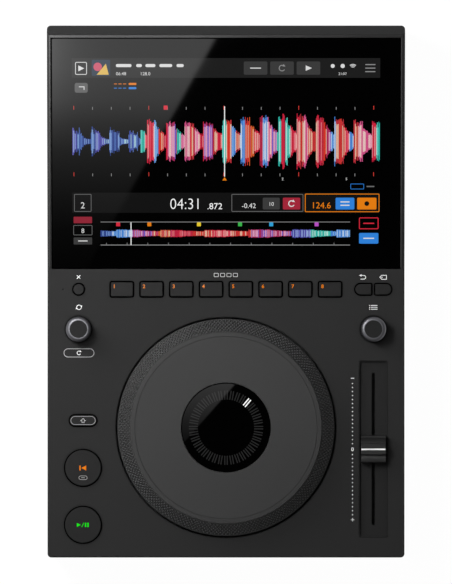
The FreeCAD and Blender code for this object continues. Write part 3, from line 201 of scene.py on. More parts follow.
def printed_ink(name):
    """Screen-printed ink on moulded plastic: the mesh's own flat colours, slightly dull."""
    material, tree, shader, millimetres = new_material(name)
    colour = add(tree, "ShaderNodeAttribute", attribute_name="ink").outputs["Color"]
    tree.links.new(colour, shader.inputs["Base Color"])
    grain = add(tree, "ShaderNodeTexNoise", {"Vector": millimetres, "Scale": 2.5})
    bump = add(tree, "ShaderNodeBump", {"Height": grain.outputs["Fac"], "Distance": 0.01 * MM})
    tree.links.new(bump.outputs["Normal"], shader.inputs["Normal"])
    shader.inputs["Roughness"].default_value = 0.55
    return material


# Meshes and drawings
def place_object(name, data):
    """A new object of the scene that shows the data."""
    made = bpy.data.objects.new(name, data)
    bpy.context.scene.collection.objects.link(made)
    return made


def mesh_piece(name, points, faces, material, body):
    """A mesh object from points and faces, riding on a body."""
    mesh = bpy.data.meshes.new(name)
    mesh.from_pydata([tuple(p) for p in points], [], faces)
    mesh.validate()
    piece = place_object(name, mesh)
    mesh.materials.append(material)
    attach(piece, body)
    return piece


def grid_faces(rows, columns, rows_close=False, columns_close=False):
    """Quads between points numbered row by row, where the last row or column may join the first."""
    faces = []
    for i in range(rows if rows_close else rows - 1):
        for j in range(columns if columns_close else columns - 1):
            here, beyond, beside = i * columns, (i + 1) % rows * columns, (j + 1) % columns
            faces.append((here + j, here + beside, beyond + beside, beyond + j))
    return faces


def on_circle(x, y, radius, degrees):
    """Points of a circle at the given angles."""
    turn = np.radians(degrees)
    return np.c_[x + radius * np.cos(turn), y + radius * np.sin(turn)]


def rounded_outline(x0, y0, x1, y1, radius):
    """Points round a rectangle with quarter-circle corners."""
    corners = [(x1 - radius, y0 + radius, -90), (x1 - radius, y1 - radius, 0),
               (x0 + radius, y1 - radius, 90), (x0 + radius, y0 + radius, 180)]
    return np.vstack([on_circle(x, y, radius, start + np.linspace(0, 90, 6))
                      for x, y, start in corners])


class Drawing:
    """Flat coloured polygons in millimetres, gathered and then laid on a surface as one mesh."""

    def __init__(self):
        self.shapes = []

    def polygon(self, points, colour, level=0):
        self.shapes.append((np.asarray(points, float), linear(colour), level))

    def rectangle(self, x0, y0, x1, y1, colour, level=0):
        self.polygon([(x0, y0), (x1, y0), (x1, y1), (x0, y1)], colour, level)

    def rounded(self, x0, y0, x1, y1, radius, colour, level=0):
        """Rectangle with quarter-circle corners."""
        self.polygon(rounded_outline(x0, y0, x1, y1, radius), colour, level)

    def line(self, points, width, colour, level=0, closed=False):
        """Stroke along points, mitred at the turns, where sharpest keeps a mitre short."""
        sharpest = 0.3
        p = np.asarray(points, float)
        if closed:
            p = np.vstack([p, p[:1]])
        run = np.diff(p, axis=0)
        run /= np.linalg.norm(run, axis=1)[:, None]
        side = np.c_[-run[:, 1], run[:, 0]]
        first, last = (side[-1:], side[:1]) if closed else (side[:1], side[-1:])
        before = np.vstack([first, side])
        mitre = before + np.vstack([side, last])
        mitre /= np.maximum(np.sum(mitre * before, axis=1), sharpest)[:, None]
        left = p + mitre * width / 2
        right = p - mitre * width / 2
        for k in range(len(p) - 1):
            self.polygon([right[k], right[k + 1], left[k + 1], left[k]], colour, level)

    def arc(self, x, y, radius, start, end, width, colour, level=0):
        """Stroke along a circle from one angle to another, in degrees."""
        degrees_per_step = 12
        steps = max(6, int(abs(end - start) / degrees_per_step))
        self.line(on_circle(x, y, radius, np.linspace(start, end, steps)), width, colour, level)

    def disc(self, x, y, radius, colour, level=0):
        self.polygon(on_circle(x, y, radius, np.arange(0, 360, 15)), colour, level)

    def arrow_head(self, x, y, size, angle, colour, level=0):
        """Filled triangle that points along an angle in degrees."""
        self.polygon(on_circle(x, y, size, angle + np.array([0, 130, 230])), colour, level)

    def frame(self, x0, y0, x1, y1, radius, width, colour, level=0):
        """Outline of a rounded rectangle."""
        self.line(rounded_outline(x0, y0, x1, y1, radius), width, colour, level, closed=True)

    def text(self, digits, x, y, height, colour, level=0, middle=True, weight=0.0, squeeze=1.0):
        """Digits as polygons, with their height in millimetres."""
        font_height = 0.729
        curve = bpy.data.curves.new("text", "FONT")
        curve.body = digits
        curve.align_x = "CENTER" if middle else "LEFT"
        curve.align_y = "BOTTOM_BASELINE"
        curve.offset = weight
        curve.resolution_u = 3
        holder = place_object("text", curve)
        bpy.context.view_layer.update()
        mesh = bpy.data.meshes.new_from_object(holder)
        points = np.array([v.co[:2] for v in mesh.vertices])
        points = points * height / font_height * np.array([squeeze, 1.0]) + np.array([x, y])
        for face in mesh.polygons:
            self.polygon(points[list(face.vertices)], colour, level)
        bpy.data.objects.remove(holder)
        bpy.data.curves.remove(curve)
        bpy.data.meshes.remove(mesh)

    def lay(self, name, material, body, to_space, step=0.01):
        """One mesh of all the polygons, each level a step above the last, with their colours."""
        least_area = 1e-9
        points, faces, colours = [], [], []
        for flat, colour, level in self.shapes:
            ahead = np.roll(flat, -1, axis=0)
            area = np.sum(flat[:, 0] * ahead[:, 1] - ahead[:, 0] * flat[:, 1])
            if abs(area) < least_area:
                continue
            ordered = flat if area > 0 else flat[::-1]
            start = len(points)
            points.extend(to_space(ordered, level * step))
            faces.append(list(range(start, start + len(ordered))))
            colours.append(np.tile(colour, (len(ordered), 1)))
        piece = mesh_piece(name, points, faces, material, body)
        ink = piece.data.color_attributes.new("ink", "FLOAT_COLOR", "CORNER")
        ink.data.foreach_set("color", np.vstack(colours).astype(np.float32).ravel())


def at_height(z):
    """A placer that puts plan millimetres just above a height in metres."""
    def place(flat, lift):
        return np.c_[flat * MM, np.full(len(flat), z + ink_lift + lift * MM)]
    return place


def on_glass_plane(x, along, out):
    """Metres across, up the slope from the glass's front edge and out of the glass, to points."""
    front_z = glass_low.z + glass_thickness * math.cos(screen_tilt)
    y = glass_low.y + along * math.cos(screen_tilt) - out * math.sin(screen_tilt)
    z = front_z + along * math.sin(screen_tilt) + out * math.cos(screen_tilt)
    return np.c_[x, y, z]


def on_screen(flat, lift):
    """Millimetres from the lit area's lower left corner to points just above the glass."""
    return on_glass_plane(flat[:, 0] * MM - screen_width / 2, screen_from_glass + flat[:, 1] * MM,
                          ink_lift + lift * MM)


# Camera and light
def any_of(tree, *kinds):
    """1 for a ray that is of any of these kinds, and 0 for all others."""
    path = add(tree, "ShaderNodeLightPath")
    found = path.outputs[kinds[0]]
    for kind in kinds[1:]:
        found = combine(tree, "MAXIMUM", found, path.outputs[kind])
    return found


def blend_shaders(tree, surface, share, first, second):
    """Join two shaders to the output: the first at a share of 0, the second at 1."""
    mixed = add(tree, "ShaderNodeMixShader", {0: share, 1: first.outputs[0], 2: second.outputs[0]})
    tree.links.new(mixed.outputs[0], surface)


def set_camera():
    """Camera straight above on a long lens, with the photograph's frame at the deck's height."""
    scene = bpy.context.scene
    scene.view_settings.view_transform = "Standard"
    image_rows, mm_per_pixel = 584, 0.706
    lens, sensor = 600.0, 36.0
    data = bpy.data.cameras.new("camera")
    data.lens = lens
    data.sensor_width = sensor
    data.clip_end = 100.0
    camera = place_object("camera", data)
    camera.location = (0.0, 0.0, image_rows * mm_per_pixel * MM * lens / sensor + deck_z)
    scene.camera = camera


def set_floor():
    """Pale floor: white to the camera and in mirrors, with a part left lit for the shadow."""
    reach = 6
    white_share = 0.93
    mesh = bpy.data.meshes.new("floor")
    corners = [(-reach, -reach, 0), (reach, -reach, 0), (reach, reach, 0), (-reach, reach, 0)]
    mesh.from_pydata(corners, [], [(0, 1, 2, 3)])
    floor = place_object("floor", mesh)
    material = bpy.data.materials.new("pale studio floor")
    tree, surface = empty_tree(material)
    diffuse = add(tree, "ShaderNodeBsdfDiffuse", {"Color": (0.8, 0.8, 0.8, 1)})
    glow = add(tree, "ShaderNodeEmission", {"Color": (1, 1, 1, 1), "Strength": 1.05})
    seen = any_of(tree, "Is Camera Ray", "Is Glossy Ray", "Is Transmission Ray")
    blend_shaders(tree, surface, combine(tree, "MULTIPLY", seen, white_share), diffuse, glow)
    mesh.materials.append(material)


def set_world():
    """Soft even light, and a white backdrop that the camera and mirror-like surfaces see.

    In mirrors the backdrop stands low, behind and to the left, and the ceiling is dark.
    """
    world = bpy.data.worlds.new("studio")
    bpy.context.scene.world = world
    tree, surface = empty_tree(world, "ShaderNodeOutputWorld")
    soft = add(tree, "ShaderNodeBackground", {"Color": (1, 1, 1, 1), "Strength": 0.2})
    bright = add(tree, "ShaderNodeBackground", {"Color": (1, 1, 1, 1), "Strength": 1.0})
    direction = add(tree, "ShaderNodeTexCoord").outputs["Generated"]
    way = add(tree, "ShaderNodeSeparateXYZ", {0: direction})
    low = share_between(tree, way.outputs["Z"], 0.6, 0.25)
    rear_left = combine(tree, "SUBTRACT", way.outputs["Y"], way.outputs["X"])
    backdrop = combine(tree, "MULTIPLY", low, share_between(tree, rear_left, -0.2, 0.6))
    mirrored = any_of(tree, "Is Glossy Ray", "Is Transmission Ray")
    seen = combine(tree, "MAXIMUM", any_of(tree, "Is Camera Ray"),
                   combine(tree, "MULTIPLY", mirrored, backdrop))
    blend_shaders(tree, surface, seen, soft, bright)


def set_lamps():
    """Round lamps that point at the origin: name, place, width in metres and watts."""
    lamps = [("key", (-0.42, 0.32, 1.0), 0.34, 6.6), ("side", (-0.48, 0.34, 0.36), 0.4, 3.9),
             ("fill", (0.7, -0.5, 1.2), 1.2, 0.3)]
    for name, place, size, power in lamps:
        data = bpy.data.lights.new(name, "AREA")
        data.shape = "DISK"
        data.size = size
        data.energy = power
        lamp = place_object(name, data)
        lamp.location = place
        lamp.rotation_euler = (-Vector(place)).to_track_quat("-Z", "Y").to_euler()
        lamp.visible_glossy = name == "key"


def card_above(name, sight, normal, height, glow, steps):
    """A card that one flat gloss surface mirrors to the camera.

    sight gives a point of the surface for (s, t) in 0..1. The camera's ray to that point is
    mirrored and carried up to the card's height, so that glow(x, y) is seen at that very point.
    """
    strength = 25.0
    eye = bpy.context.scene.camera.location
    normal = Vector(normal).normalized()
    columns, rows = steps
    points, light = [], []
    for j in range(rows + 1):
        for i in range(columns + 1):
            at = Vector(sight(i / columns, j / rows))
            ray = (at - eye).normalized()
            ray -= 2 * ray.dot(normal) * normal
            points.append(at + ray * ((deck_z + height - at.z) / ray.z))
            light.append(glow(at.x / MM, at.y / MM))
    mesh = bpy.data.meshes.new(name)
    mesh.from_pydata(points, [], grid_faces(rows + 1, columns + 1))
    layer = mesh.color_attributes.new("glow", "FLOAT_COLOR", "POINT")
    layer.data.foreach_set("color", np.array([(g, g, g, 1.0) for g in light], np.float32).ravel())
    material = bpy.data.materials.new(name)
    tree, surface = empty_tree(material)
    shade = add(tree, "ShaderNodeAttribute", attribute_name="glow")
    lamp = add(tree, "ShaderNodeEmission", {"Color": shade.outputs["Color"], "Strength": strength})
    tree.links.new(lamp.outputs[0], surface)
    mesh.materials.append(material)
    card = place_object(name, mesh)
    card.visible_camera = False
    card.visible_diffuse = False
    card.visible_shadow = False
    card.visible_transmission = False


def past_line(x, y, start, end, soft):
    """1 left of the line from start to end and 0 right of it, with a soft edge in millimetres."""
    (x0, y0), (x1, y1) = start, end
    length = math.hypot(x1 - x0, y1 - y0)
    side = ((x1 - x0) * (y - y0) - (y1 - y0) * (x - x0)) / length
    return min(max(side / soft + 0.5, 0.0), 1.0)


def glass_glare(x, y):
    """Light mirrored by the tilted glass: strong at its upper left, cut off along a diagonal.

    Well outside the glass it is brighter, where only the polished lip round the glass mirrors it.
    """
    lip_light = 0.36
    past_lip = 18
    if x < glass_low.x / MM - past_lip:
        return float(lip_light * np.interp(y, [10, 60, 110, 178], [0.0, 0.1, 0.9, 1.0]))
    if y > glass_high.y / MM + past_lip:
        return float(lip_light * np.interp(x, [-130, 0, 100], [1.0, 0.8, 0.1]))
    fall = np.interp(y, [15, 44, 65, 82, 100, 118, 136, 157, 178],
                     [0.0004, 0.0018, 0.005, 0.009, 0.0145, 0.026, 0.044, 0.055, 0.055])
    corner_x, corner_reach = -122.0, 16.0
    corner = 0.9 * math.exp((corner_x - x) / corner_reach) * np.interp(y, [90, 170], [0.0, 1.0])
    return float(fall * (1.0 + corner) * past_line(x, y, (-97.6, 18.0), (-7.8, 177.9), 1.2))


def window_glare(x, y):
    """Light mirrored by the wheel's flat window: a patch at its upper left with a diagonal edge."""
    fall = np.interp(y, [-125, -110, -92, -64], [0.0, 0.002, 0.010, 0.032])
    return float(fall * past_line(x, y, (-18.0, -92.7), (6.3, -65.0), 0.8))


def reflection_cards():
    """Cards that only mirror rays see, for the glass with its lip and for the wheel's window."""
    edge = 4 * MM
    past_lip = 70 * MM
    x0, x1 = glass_low.x - past_lip, glass_high.x + edge
    y0, y1 = glass_low.y - edge, glass_high.y + past_lip

    def on_glass(s, t):
        y = y0 + (y1 - y0) * t
        return x0 + (x1 - x0) * s, y, deck_z + (y - glass_low.y) * math.tan(screen_tilt)

    card_above("glass_card", on_glass, (0, -math.sin(screen_tilt), math.cos(screen_tilt)),
               height=0.6, glow=glass_glare, steps=(200, 90))
    half = (window_high.x - window_low.x) / 2 + 2 * MM

    def on_window(s, t):
        x, y = jog_centre
        return x + half * (2 * s - 1), y + half * (2 * t - 1), window_high.z

    card_above("window_card", on_window, (0, 0, 1), height=0.2, glow=window_glare, steps=(80, 80))


set_camera()
set_floor()
set_world()
set_lamps()
reflection_cards()

# Finishes: colour, roughness, grain in millimetres, depth of its bump, mottle
# ABS with a fine spark texture: dull charcoal with a soft broad sheen
# Shade is painted black into the cover's gaps
case_finish = moulded("moulded ABS, fine spark texture", "#202020", 0.6, 0.35, 0.02, 0.05,
                      specular=0.2, painted_crevice_shade=2.5)
lower_finish = moulded("moulded ABS, coarse spark texture", "#1a1a1a", 0.66, 0.5, 0.03, 0.06,
                       specular=0.2)
# The lip round the glass is the same plastic, polished in the mould; its paler tone is painted
# highlight
lip_finish_painted_paler = moulded("moulded ABS, polished lip", "#282828", 0.13, 0.5, 0.004, 0.05)
# Keys are the same plastic, polished by fingers, so a little smoother and darker
# Shade is painted black into the gaps round the keys
key_finish = moulded("moulded ABS, satin", "#161616", 0.5, 0.4, 0.012, 0.05, specular=0.2,
                     painted_crevice_shade=2.5)
trough_finish = moulded("moulded ABS, matt black", "#1b1b1b", 0.65, 0.4, 0.02, 0.08, specular=0.2)
cap_finish = moulded("moulded ABS, black satin", "#1e1e1e", 0.34, 0.4, 0.008, 0.06)
# Rubber is darker and duller than the plastic
rubber_finish = moulded("moulded rubber", "#191919", 0.85, 0.8, 0.05, 0.1)
# Aluminium disc, fine blasted and anodised in charcoal, so even and flat in tone
plate_finish = moulded("blasted aluminium, charcoal anodised", "#313131", 0.5, 0.25, 0.008, 0.03,
                       specular=0.25)
# Knurl: shade painted near black in the hollows, crests paler with wear and painted highlight
ring_finish = knurled("moulded ABS, diamond knurl", "#020202", "#3c3c3c", 0.42)
# Toughened glass over a black display, and a window like it: mirror-smooth and nearly black
glass_finish = moulded("toughened glass, black backed", "#020202", 0.03, 30.0, 0.0, 0.0,
                       spread=0.01)
window_finish = moulded("polished acrylic, black backed", "#020202", 0.025, 20.0, 0.0, 0.0,
                        spread=0.005)
# Turned aluminium, satin silver
knob_finish = moulded("turned aluminium, satin", "#6e6e72", 0.4, 0.3, 0.01, 0.06, metallic=1.0)
disc_finish = moulded("moulded ABS, dark satin", "#141414", 0.55, 0.4, 0.012, 0.05, specular=0.2)
screw_finish = moulded("steel, black zinc", "#3a3a3c", 0.4, 0.6, 0.01, 0.1, metallic=1.0)
zinc_finish = moulded("steel sheet, zinc plated", "#a4a7aa", 0.42, 1.5, 0.01, 0.12, metallic=1.0)
bright_finish = moulded("steel, nickel plated", "#c2c2c0", 0.25, 0.8, 0.006, 0.05, metallic=1.0)
panel_finish = moulded("steel sheet, black powder coat", "#1e1e1e", 0.6, 0.4, 0.03, 0.06)
board_finish = moulded("glass epoxy board, green solder mask", "#1f4a2c", 0.45, 2.0, 0.02, 0.15)
inner_finish = moulded("moulded ABS, plain black", "#1c1c1c", 0.6, 0.6, 0.02, 0.08)
brass_finish = moulded("brass, gold flashed", "#b99a55", 0.28, 0.8, 0.006, 0.06, metallic=1.0)
sinter_finish = moulded("sintered bronze", "#8a6b3a", 0.5, 0.4, 0.02, 0.1, metallic=1.0)
alloy_finish = moulded("turned aluminium, bare", "#b4b6b8", 0.35, 0.6, 0.008, 0.05, metallic=1.0)
film_finish = moulded("polyester film, pale", "#cfcfca", 0.45, 1.2, 0.01, 0.05)
lens_finish = moulded("smoked polycarbonate", "#0c0c0c", 0.6, 1.0, 0.004, 0.03, specular=0.15)
print_finish = printed_ink("screen-printed ink")
glow_finish = lit_ink("lit display pixels")
legend_finish = lit_ink("back-lit legend")

key_nodes = ["hot_cue_key_" + letter for letter in "abcdefgh"]
key_nodes += ["delete_key", "back_key", "tag_key", "shift_key", "cue_button", "play_button",
              "power_button"]
finishes = {
    case_finish: ["top_cover"],
    lower_finish: ["bottom_chassis"],
    key_finish: key_nodes,
    trough_finish: ["fader_trough"],
    cap_finish: ["fader_cap"],
    rubber_finish: ["rubber_feet"],
    plate_finish: ["jog_plate"],
    glass_finish: ["cover_glass"],
    window_finish: ["jog_window"],
    knob_finish: ["browse_knob", "loop_knob"],
    disc_finish: ["browse_knob_disc", "loop_knob_disc"],
    screw_finish: ["case_screws", "board_screws"],
    panel_finish: ["rear_panel", "fader_body", "fader_rails"],
    zinc_finish: ["display_bracket", "encoder_bodies"],
    bright_finish: ["fader_lever", "browse_shaft", "loop_shaft", "usb_drive_port",
                    "usb_computer_port"],
    board_finish: ["main_board", "power_board", "upper_key_board", "side_key_board"],
    inner_finish: ["key_switches", "jog_base", "jog_display", "jog_sensor", "encoder_disc",
                   "touch_switch", "network_jack", "power_inlet", "browse_plunger", "loop_plunger",
                   "display_panel"],
    brass_finish: ["coax_jacks"],
    sinter_finish: ["jog_bearing"],
    alloy_finish: ["jog_hub"],
    film_finish: ["ribbon_cables"],
    lens_finish: ["status_light_pipe"],
    ring_finish: ["jog_ring"]}
for finish, names in finishes.items():
    for name in names:
        nodes[name].data.materials.clear()
        nodes[name].data.materials.append(finish)


def knurled_ring():
    """The jog wheel's grip ring: the solid ring's section turned round, with a knurl on its slope.

    The surface is r(v), z(v) along the section, turned by u round it. On the slope each point is
    pushed out along the slope's normal by depth times the lower of two saw waves that run
    diagonally, so that the grooves cross and leave pyramids.
    """
    columns = 180
    rows = 7
    per_diamond = 6
    depth = 0.7 * MM
    wall = 2.5 * MM
    margin = 0.35 * MM
    # Section, from the ring's foot up the slope and down its inside
    radius = (ring_high.x - ring_low.x) / 2
    shoulder_z = deck_z + 2.0 * MM
    crest_z = plate_high.z - 1.1 * MM
    crest_r = (plate_high.x - plate_low.x) / 2 + 0.35 * MM
    shelf_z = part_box("touch_switch")[0].z
    foot_r = crest_r - 9.55 * MM
    foot_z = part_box("jog_hub")[1].z - 1.0 * MM
    slope_r = radius - crest_r
    slope_z = crest_z - shoulder_z
    normal = np.array([slope_z, slope_r]) / math.hypot(slope_r, slope_z)
    steps = np.linspace(0, 1, rows * per_diamond + 1)
    step_in = margin * 0.5
    slope = np.c_[radius - step_in - (slope_r - step_in) * steps, shoulder_z + slope_z * steps]
    before = np.array([(radius - wall, ring_low.z), (radius - 0.3 * MM, ring_low.z),
                       (radius, ring_low.z + 0.3 * MM), (radius, shoulder_z - 0.5 * MM),
                       (radius, shoulder_z - step_in)])
    web_z = shelf_z - 2.2 * MM
    after = np.array([(crest_r, crest_z - 0.3 * MM), (crest_r, shelf_z), (foot_r, shelf_z),
                      (foot_r, foot_z), (foot_r + wall, foot_z), (foot_r + wall, web_z),
                      (crest_r - 1.0 * MM, web_z), (radius - wall, shoulder_z - 1.0 * MM),
                      (radius - wall, ring_low.z)])
    section = np.vstack([before, slope, after])
    # Height of the knurl, where v is -1 off the slope
    along = np.concatenate([np.full(len(before), -1.0), steps, np.full(len(after), -1.0)])
    around = columns * per_diamond
    u, v = np.meshgrid(np.arange(around) / around, along)

    def saw(t):
        return 1.0 - np.abs(2.0 * (t - np.floor(t)) - 1.0)

    height = np.minimum(saw(u * columns + v * rows / 2), saw(u * columns - v * rows / 2)) * 2.0
    fade = np.clip(np.minimum(v, 1 - v) * 14, 0, 1) * (v >= 0)
    push = depth * (height - 0.5) * fade
    r = section[:, :1] + push * normal[0]
    z = section[:, 1:] + push * normal[1]
    x = jog_centre[0] + r * np.cos(2 * np.pi * u)
    y = jog_centre[1] + r * np.sin(2 * np.pi * u)
    points = np.stack([x, y, z], axis=-1).reshape(-1, 3)
    faces = grid_faces(len(section), around, columns_close=True)
    ring = mesh_piece("knurled_grip_ring", points, faces, ring_finish, "jog_wheel")
    # Heights for the colour: shade painted in the hollows, wear and highlight painted on the crests
    crest_wear_and_highlight = np.where(v >= 0, 0.5 + (height - 0.5) * fade, 0.5).reshape(-1)
    layer = ring.data.color_attributes.new("crest", "FLOAT_COLOR", "POINT")
    layer.data.foreach_set("color", np.repeat(crest_wear_and_highlight, 4).astype(np.float32))
    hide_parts("jog_ring")


def turned_plate():
    """The wheel's top plate: a flat ring with a very shallow bevel outside a fine turned groove.

    The section goes round by rotation. The groove is a V, twice as wide as it is deep.
    """
    outer = (plate_high.x - plate_low.x) / 2 + 0.25 * MM
    bore = (window_high.x - window_low.x) / 2 + 0.15 * MM
    bevel_width = 3.2 * MM
    groove = 0.25 * MM
    flat = outer - bevel_width
    top, bottom = plate_high.z, plate_low.z
    section = np.array([(bore, bottom), (bore, top - groove), (bore + groove, top),
                        (flat - groove, top), (flat, top - groove), (flat + groove, top),
                        (outer - groove, top - 0.1 * MM), (outer, top - 0.35 * MM),
                        (outer, bottom)])
    around = 360
    angle = 2 * np.pi * np.arange(around) / around
    points = np.stack([jog_centre[0] + section[:, :1] * np.cos(angle),
                       jog_centre[1] + section[:, :1] * np.sin(angle),
                       np.repeat(section[:, 1:], around, axis=1)], axis=-1).reshape(-1, 3)
    faces = [face[::-1] for face in grid_faces(len(section), around, True, True)]
    plate = mesh_piece("turned_top_plate", points, faces, plate_finish, "jog_touch_plate")
    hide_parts("jog_plate")


def glass_lip():
    """Raised lip of the top cover round the glass's left, rear and right edges.

    Its section, given as distances out from the glass and heights over it, runs along the three
    sides with mitred corners. The edges are chamfers, and the front ends slope down to the deck.
    """
    beside = np.array([(0.7, -0.5), (0.7, -0.1), (1.3, 0.3), (1.95, 0.3), (2.55, -0.1)]) * MM
    behind = np.array([(0.7, -0.5), (0.7, -0.1), (0.9, 0.3), (2.55, 0.3), (3.2, -0.1)]) * MM
    half = (glass_high.x - glass_low.x) / 2
    depth = glass_high.y - glass_low.y - glass_thickness * math.sin(screen_tilt)
    rear = depth / math.cos(screen_tilt)
    flat = np.minimum(beside[:, 1], -0.1 * MM)
    stations = []
    for side, order in ((-1, 1), (1, -1)):
        x = side * (half + beside[:, 0])
        front_end = (x, np.full(len(x), -0.4 * MM), flat)
        front = (x, np.full(len(x), 0.5 * MM), beside[:, 1])
        corner = (x, rear + behind[:, 0], behind[:, 1])
        stations += [front_end, front, corner][::order]
    points = np.vstack([on_glass_plane(*station) for station in stations])
    mesh_piece("glass_lip", points, grid_faces(len(stations), len(beside)), lip_finish_painted_paler, "player")


knurled_ring()
turned_plate()
glass_lip()


# Marks on the deck, the keys and the wheel's window
def deck_marks():
    """Legends printed on the deck: plain pictograms where the words of a real player would be."""
    ink = "#f2f2f2"
    d = Drawing()
    # Four small pads over the row of keys
    pad_pitch = 4.5
    for k in range(4):
        d.frame(-8.4 + k * pad_pitch, 10.8, -5.4 + k * pad_pitch, 13.2, 0.4, 0.38, "#c4c4c4")
    # Cross for the delete key
    x, y = -104.1, 10.6
    d.line([(x - 1.2, y - 1.2), (x + 1.2, y + 1.2)], 0.5, ink)
    d.line([(x - 1.2, y + 1.2), (x + 1.2, y - 1.2)], 0.5, ink)
    # Hooked arrow for the back key
    x, y = 96.9, 10.4
    d.arc(x + 0.4, y, 1.3, -90, 90, 0.45, ink)
    d.line([(x + 0.4, y + 1.3), (x - 1.6, y + 1.3)], 0.45, ink)
    d.line([(x + 0.4, y - 1.3), (x - 1.9, y - 1.3)], 0.45, ink)
    d.arrow_head(x - 1.9, y + 1.3, 1.1, 180, ink)
    # Label outline for the tag key
    x, y = 111.0, 10.4
    d.line([(x - 2.4, y), (x - 1.1, y + 1.4), (x + 2.3, y + 1.4), (x + 2.3, y - 1.4),
            (x - 1.1, y - 1.4)], 0.45, ink, closed=True)
    d.disc(x - 0.9, y, 0.42, ink)
    # List for the browse dial
    x, y = 104.0, -10.8
    for row in (-1.3, 0, 1.3):
        d.disc(x - 2.6, y + row, 0.36, ink)
        d.line([(x - 1.7, y + row), (x + 2.9, y + row)], 0.45, ink)
    # Loop arrows for the loop dial
    x, y = -103.8, -10.8
    d.arc(x, y, 1.6, 25, 180, 0.45, ink)
    d.arc(x, y, 1.6, 205, 360, 0.45, ink)
    d.arrow_head(x + 1.65, y + 0.6, 0.95, -80, ink)
    d.arrow_head(x - 1.65, y - 0.6, 0.95, 100, ink)
    # Outlined pill under the loop dial with a small loop arrow
    x, y = -103.8, -43.0
    d.frame(x - 10.6, y - 2.9, x + 10.6, y + 2.9, 2.85, 0.4, "#b4b4b4")
    d.arc(x, y, 1.3, 60, 330, 0.45, ink)
    d.arrow_head(x + 1.05, y + 1.0, 0.9, -30, ink)
    # Fader scale: a zero, two dotted runs and the signs at both ends
    x = 89.3
    dot_pitch = 2.83
    d.text("0", x, -112.3, 2.7, ink, weight=0.02)
    d.line([(x - 1.2, -60.9), (x + 1.2, -60.9)], 0.5, ink)
    d.line([(x - 1.2, -160.8), (x + 1.2, -160.8)], 0.5, ink)
    d.line([(x, -162.0), (x, -159.6)], 0.5, ink)
    for k in range(16):
        d.disc(x, -64.6 - k * dot_pitch, 0.42, ink)
        d.disc(x, -114.8 - k * dot_pitch, 0.42, ink)
    d.lay("deck_legends", print_finish, "player", at_height(deck_z))


def top_of(name):
    """Middle of a piece in plan, in millimetres, and a placer on its top."""
    low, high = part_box(name)
    return (low.x + high.x) / 2 / MM, (low.y + high.y) / 2 / MM, at_height(high.z)


def key_marks():
    """Legends on the keys and buttons, each riding on its own key."""
    frame_grey = "#9a9a9a"
    for number, letter in enumerate("abcdefgh", 1):
        x, y, on_top = top_of("hot_cue_key_" + letter)
        d = Drawing()
        d.text(str(number), x - 5.4, y + 0.9, 2.6, orange, weight=0.02)
        d.lay("number_" + letter, legend_finish, "hot_cue_key_" + letter + "_body", on_top)
    # Cue: a bar and a triangle, with a small outlined mark below
    x, y, on_top = top_of("cue_button")
    d = Drawing()
    d.rectangle(x - 2.6, y - 1.7, x - 1.7, y + 1.7, orange)
    d.polygon([(x + 2.2, y - 1.8), (x + 2.2, y + 1.8), (x - 1.3, y)], orange)
    d.lay("cue_symbol", legend_finish, "cue_button_body", on_top)
    d = Drawing()
    d.frame(x - 2.9, y - 8.2, x + 2.9, y - 5.6, 1.25, 0.35, frame_grey)
    d.line([(x - 1.3, y - 6.9), (x + 1.3, y - 6.9)], 0.4, frame_grey)
    d.lay("cue_small_mark", print_finish, "cue_button_body", on_top)
    # Play and pause
    x, y, on_top = top_of("play_button")
    green = "#1be01b"
    d = Drawing()
    d.polygon([(x - 4.4, y - 1.4), (x - 1.5, y), (x - 4.4, y + 1.4)], green)
    d.line([(x - 0.9, y - 1.5), (x + 0.5, y + 1.5)], 0.5, green)
    d.rectangle(x + 1.3, y - 1.5, x + 2.3, y + 1.5, green)
    d.rectangle(x + 3.0, y - 1.5, x + 4.0, y + 1.5, green)
    d.lay("play_symbol", legend_finish, "play_button_body", on_top)
    # Shift: an outlined arrow that points up
    x, y, on_top = top_of("shift_key")
    d = Drawing()
    d.frame(x - 8.6, y - 2.85, x + 8.6, y + 2.85, 2.8, 0.35, frame_grey)
    d.line([(x - 1.7, y - 0.2), (x, y + 1.4), (x + 1.7, y - 0.2), (x + 0.75, y - 0.2),
            (x + 0.75, y - 1.5), (x - 0.75, y - 1.5), (x - 0.75, y - 0.2)],
           0.35, "#b9b9b9", closed=True)
    d.lay("shift_symbol", print_finish, "shift_key_body", on_top)
    # White line across the fader cap
    low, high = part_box("fader_cap")
    y = (low.y + high.y) / 2 / MM
    d = Drawing()
    d.rectangle(low.x / MM + 0.15, y - 0.55, high.x / MM - 0.15, y + 0.55, "#f4f4f4")
    d.lay("fader_line", print_finish, "tempo_slider", at_height(high.z))


def jog_ticks():
    """Ring of paired bars on the centre window: one pair every ten degrees, one of them lit."""
    d = Drawing()
    x, y = jog_centre[0] / MM, jog_centre[1] / MM
    inner, outer, half, offset = 19.8, 26.2, 0.42, 0.87
    lit_pair = 4
    for k in range(36):
        angle = math.radians(90 - 10 * k)
        colour = "#ffffff" if k == lit_pair else "#242424"
        along = np.array([math.cos(angle), math.sin(angle)])
        across = np.array([-along[1], along[0]])
        for side in (-offset, offset):
            mid = across * side
            corners = [along * inner + mid - across * half, along * outer + mid - across * half,
                       along * outer + mid + across * half, along * inner + mid + across * half]
            d.polygon(np.array(corners) + np.array([x, y]), colour)
    d.lay("jog_tick_ring", legend_finish, "player", at_height(window_high.z))


orange = "#e07a10"
deck_marks()
key_marks()
jog_ticks()

# Picture on the screen, from the lit area's lower left corner, in millimetres
picture_width, picture_height = screen_width / MM, screen_height / MM
pale, dim, dark = "#d8d8d8", "#8a8a8a", "#101010"
outline, plain_button = "#6a6a6a", "#3a3a3a"
red, blue = "#d3283c", "#2f7fd6"
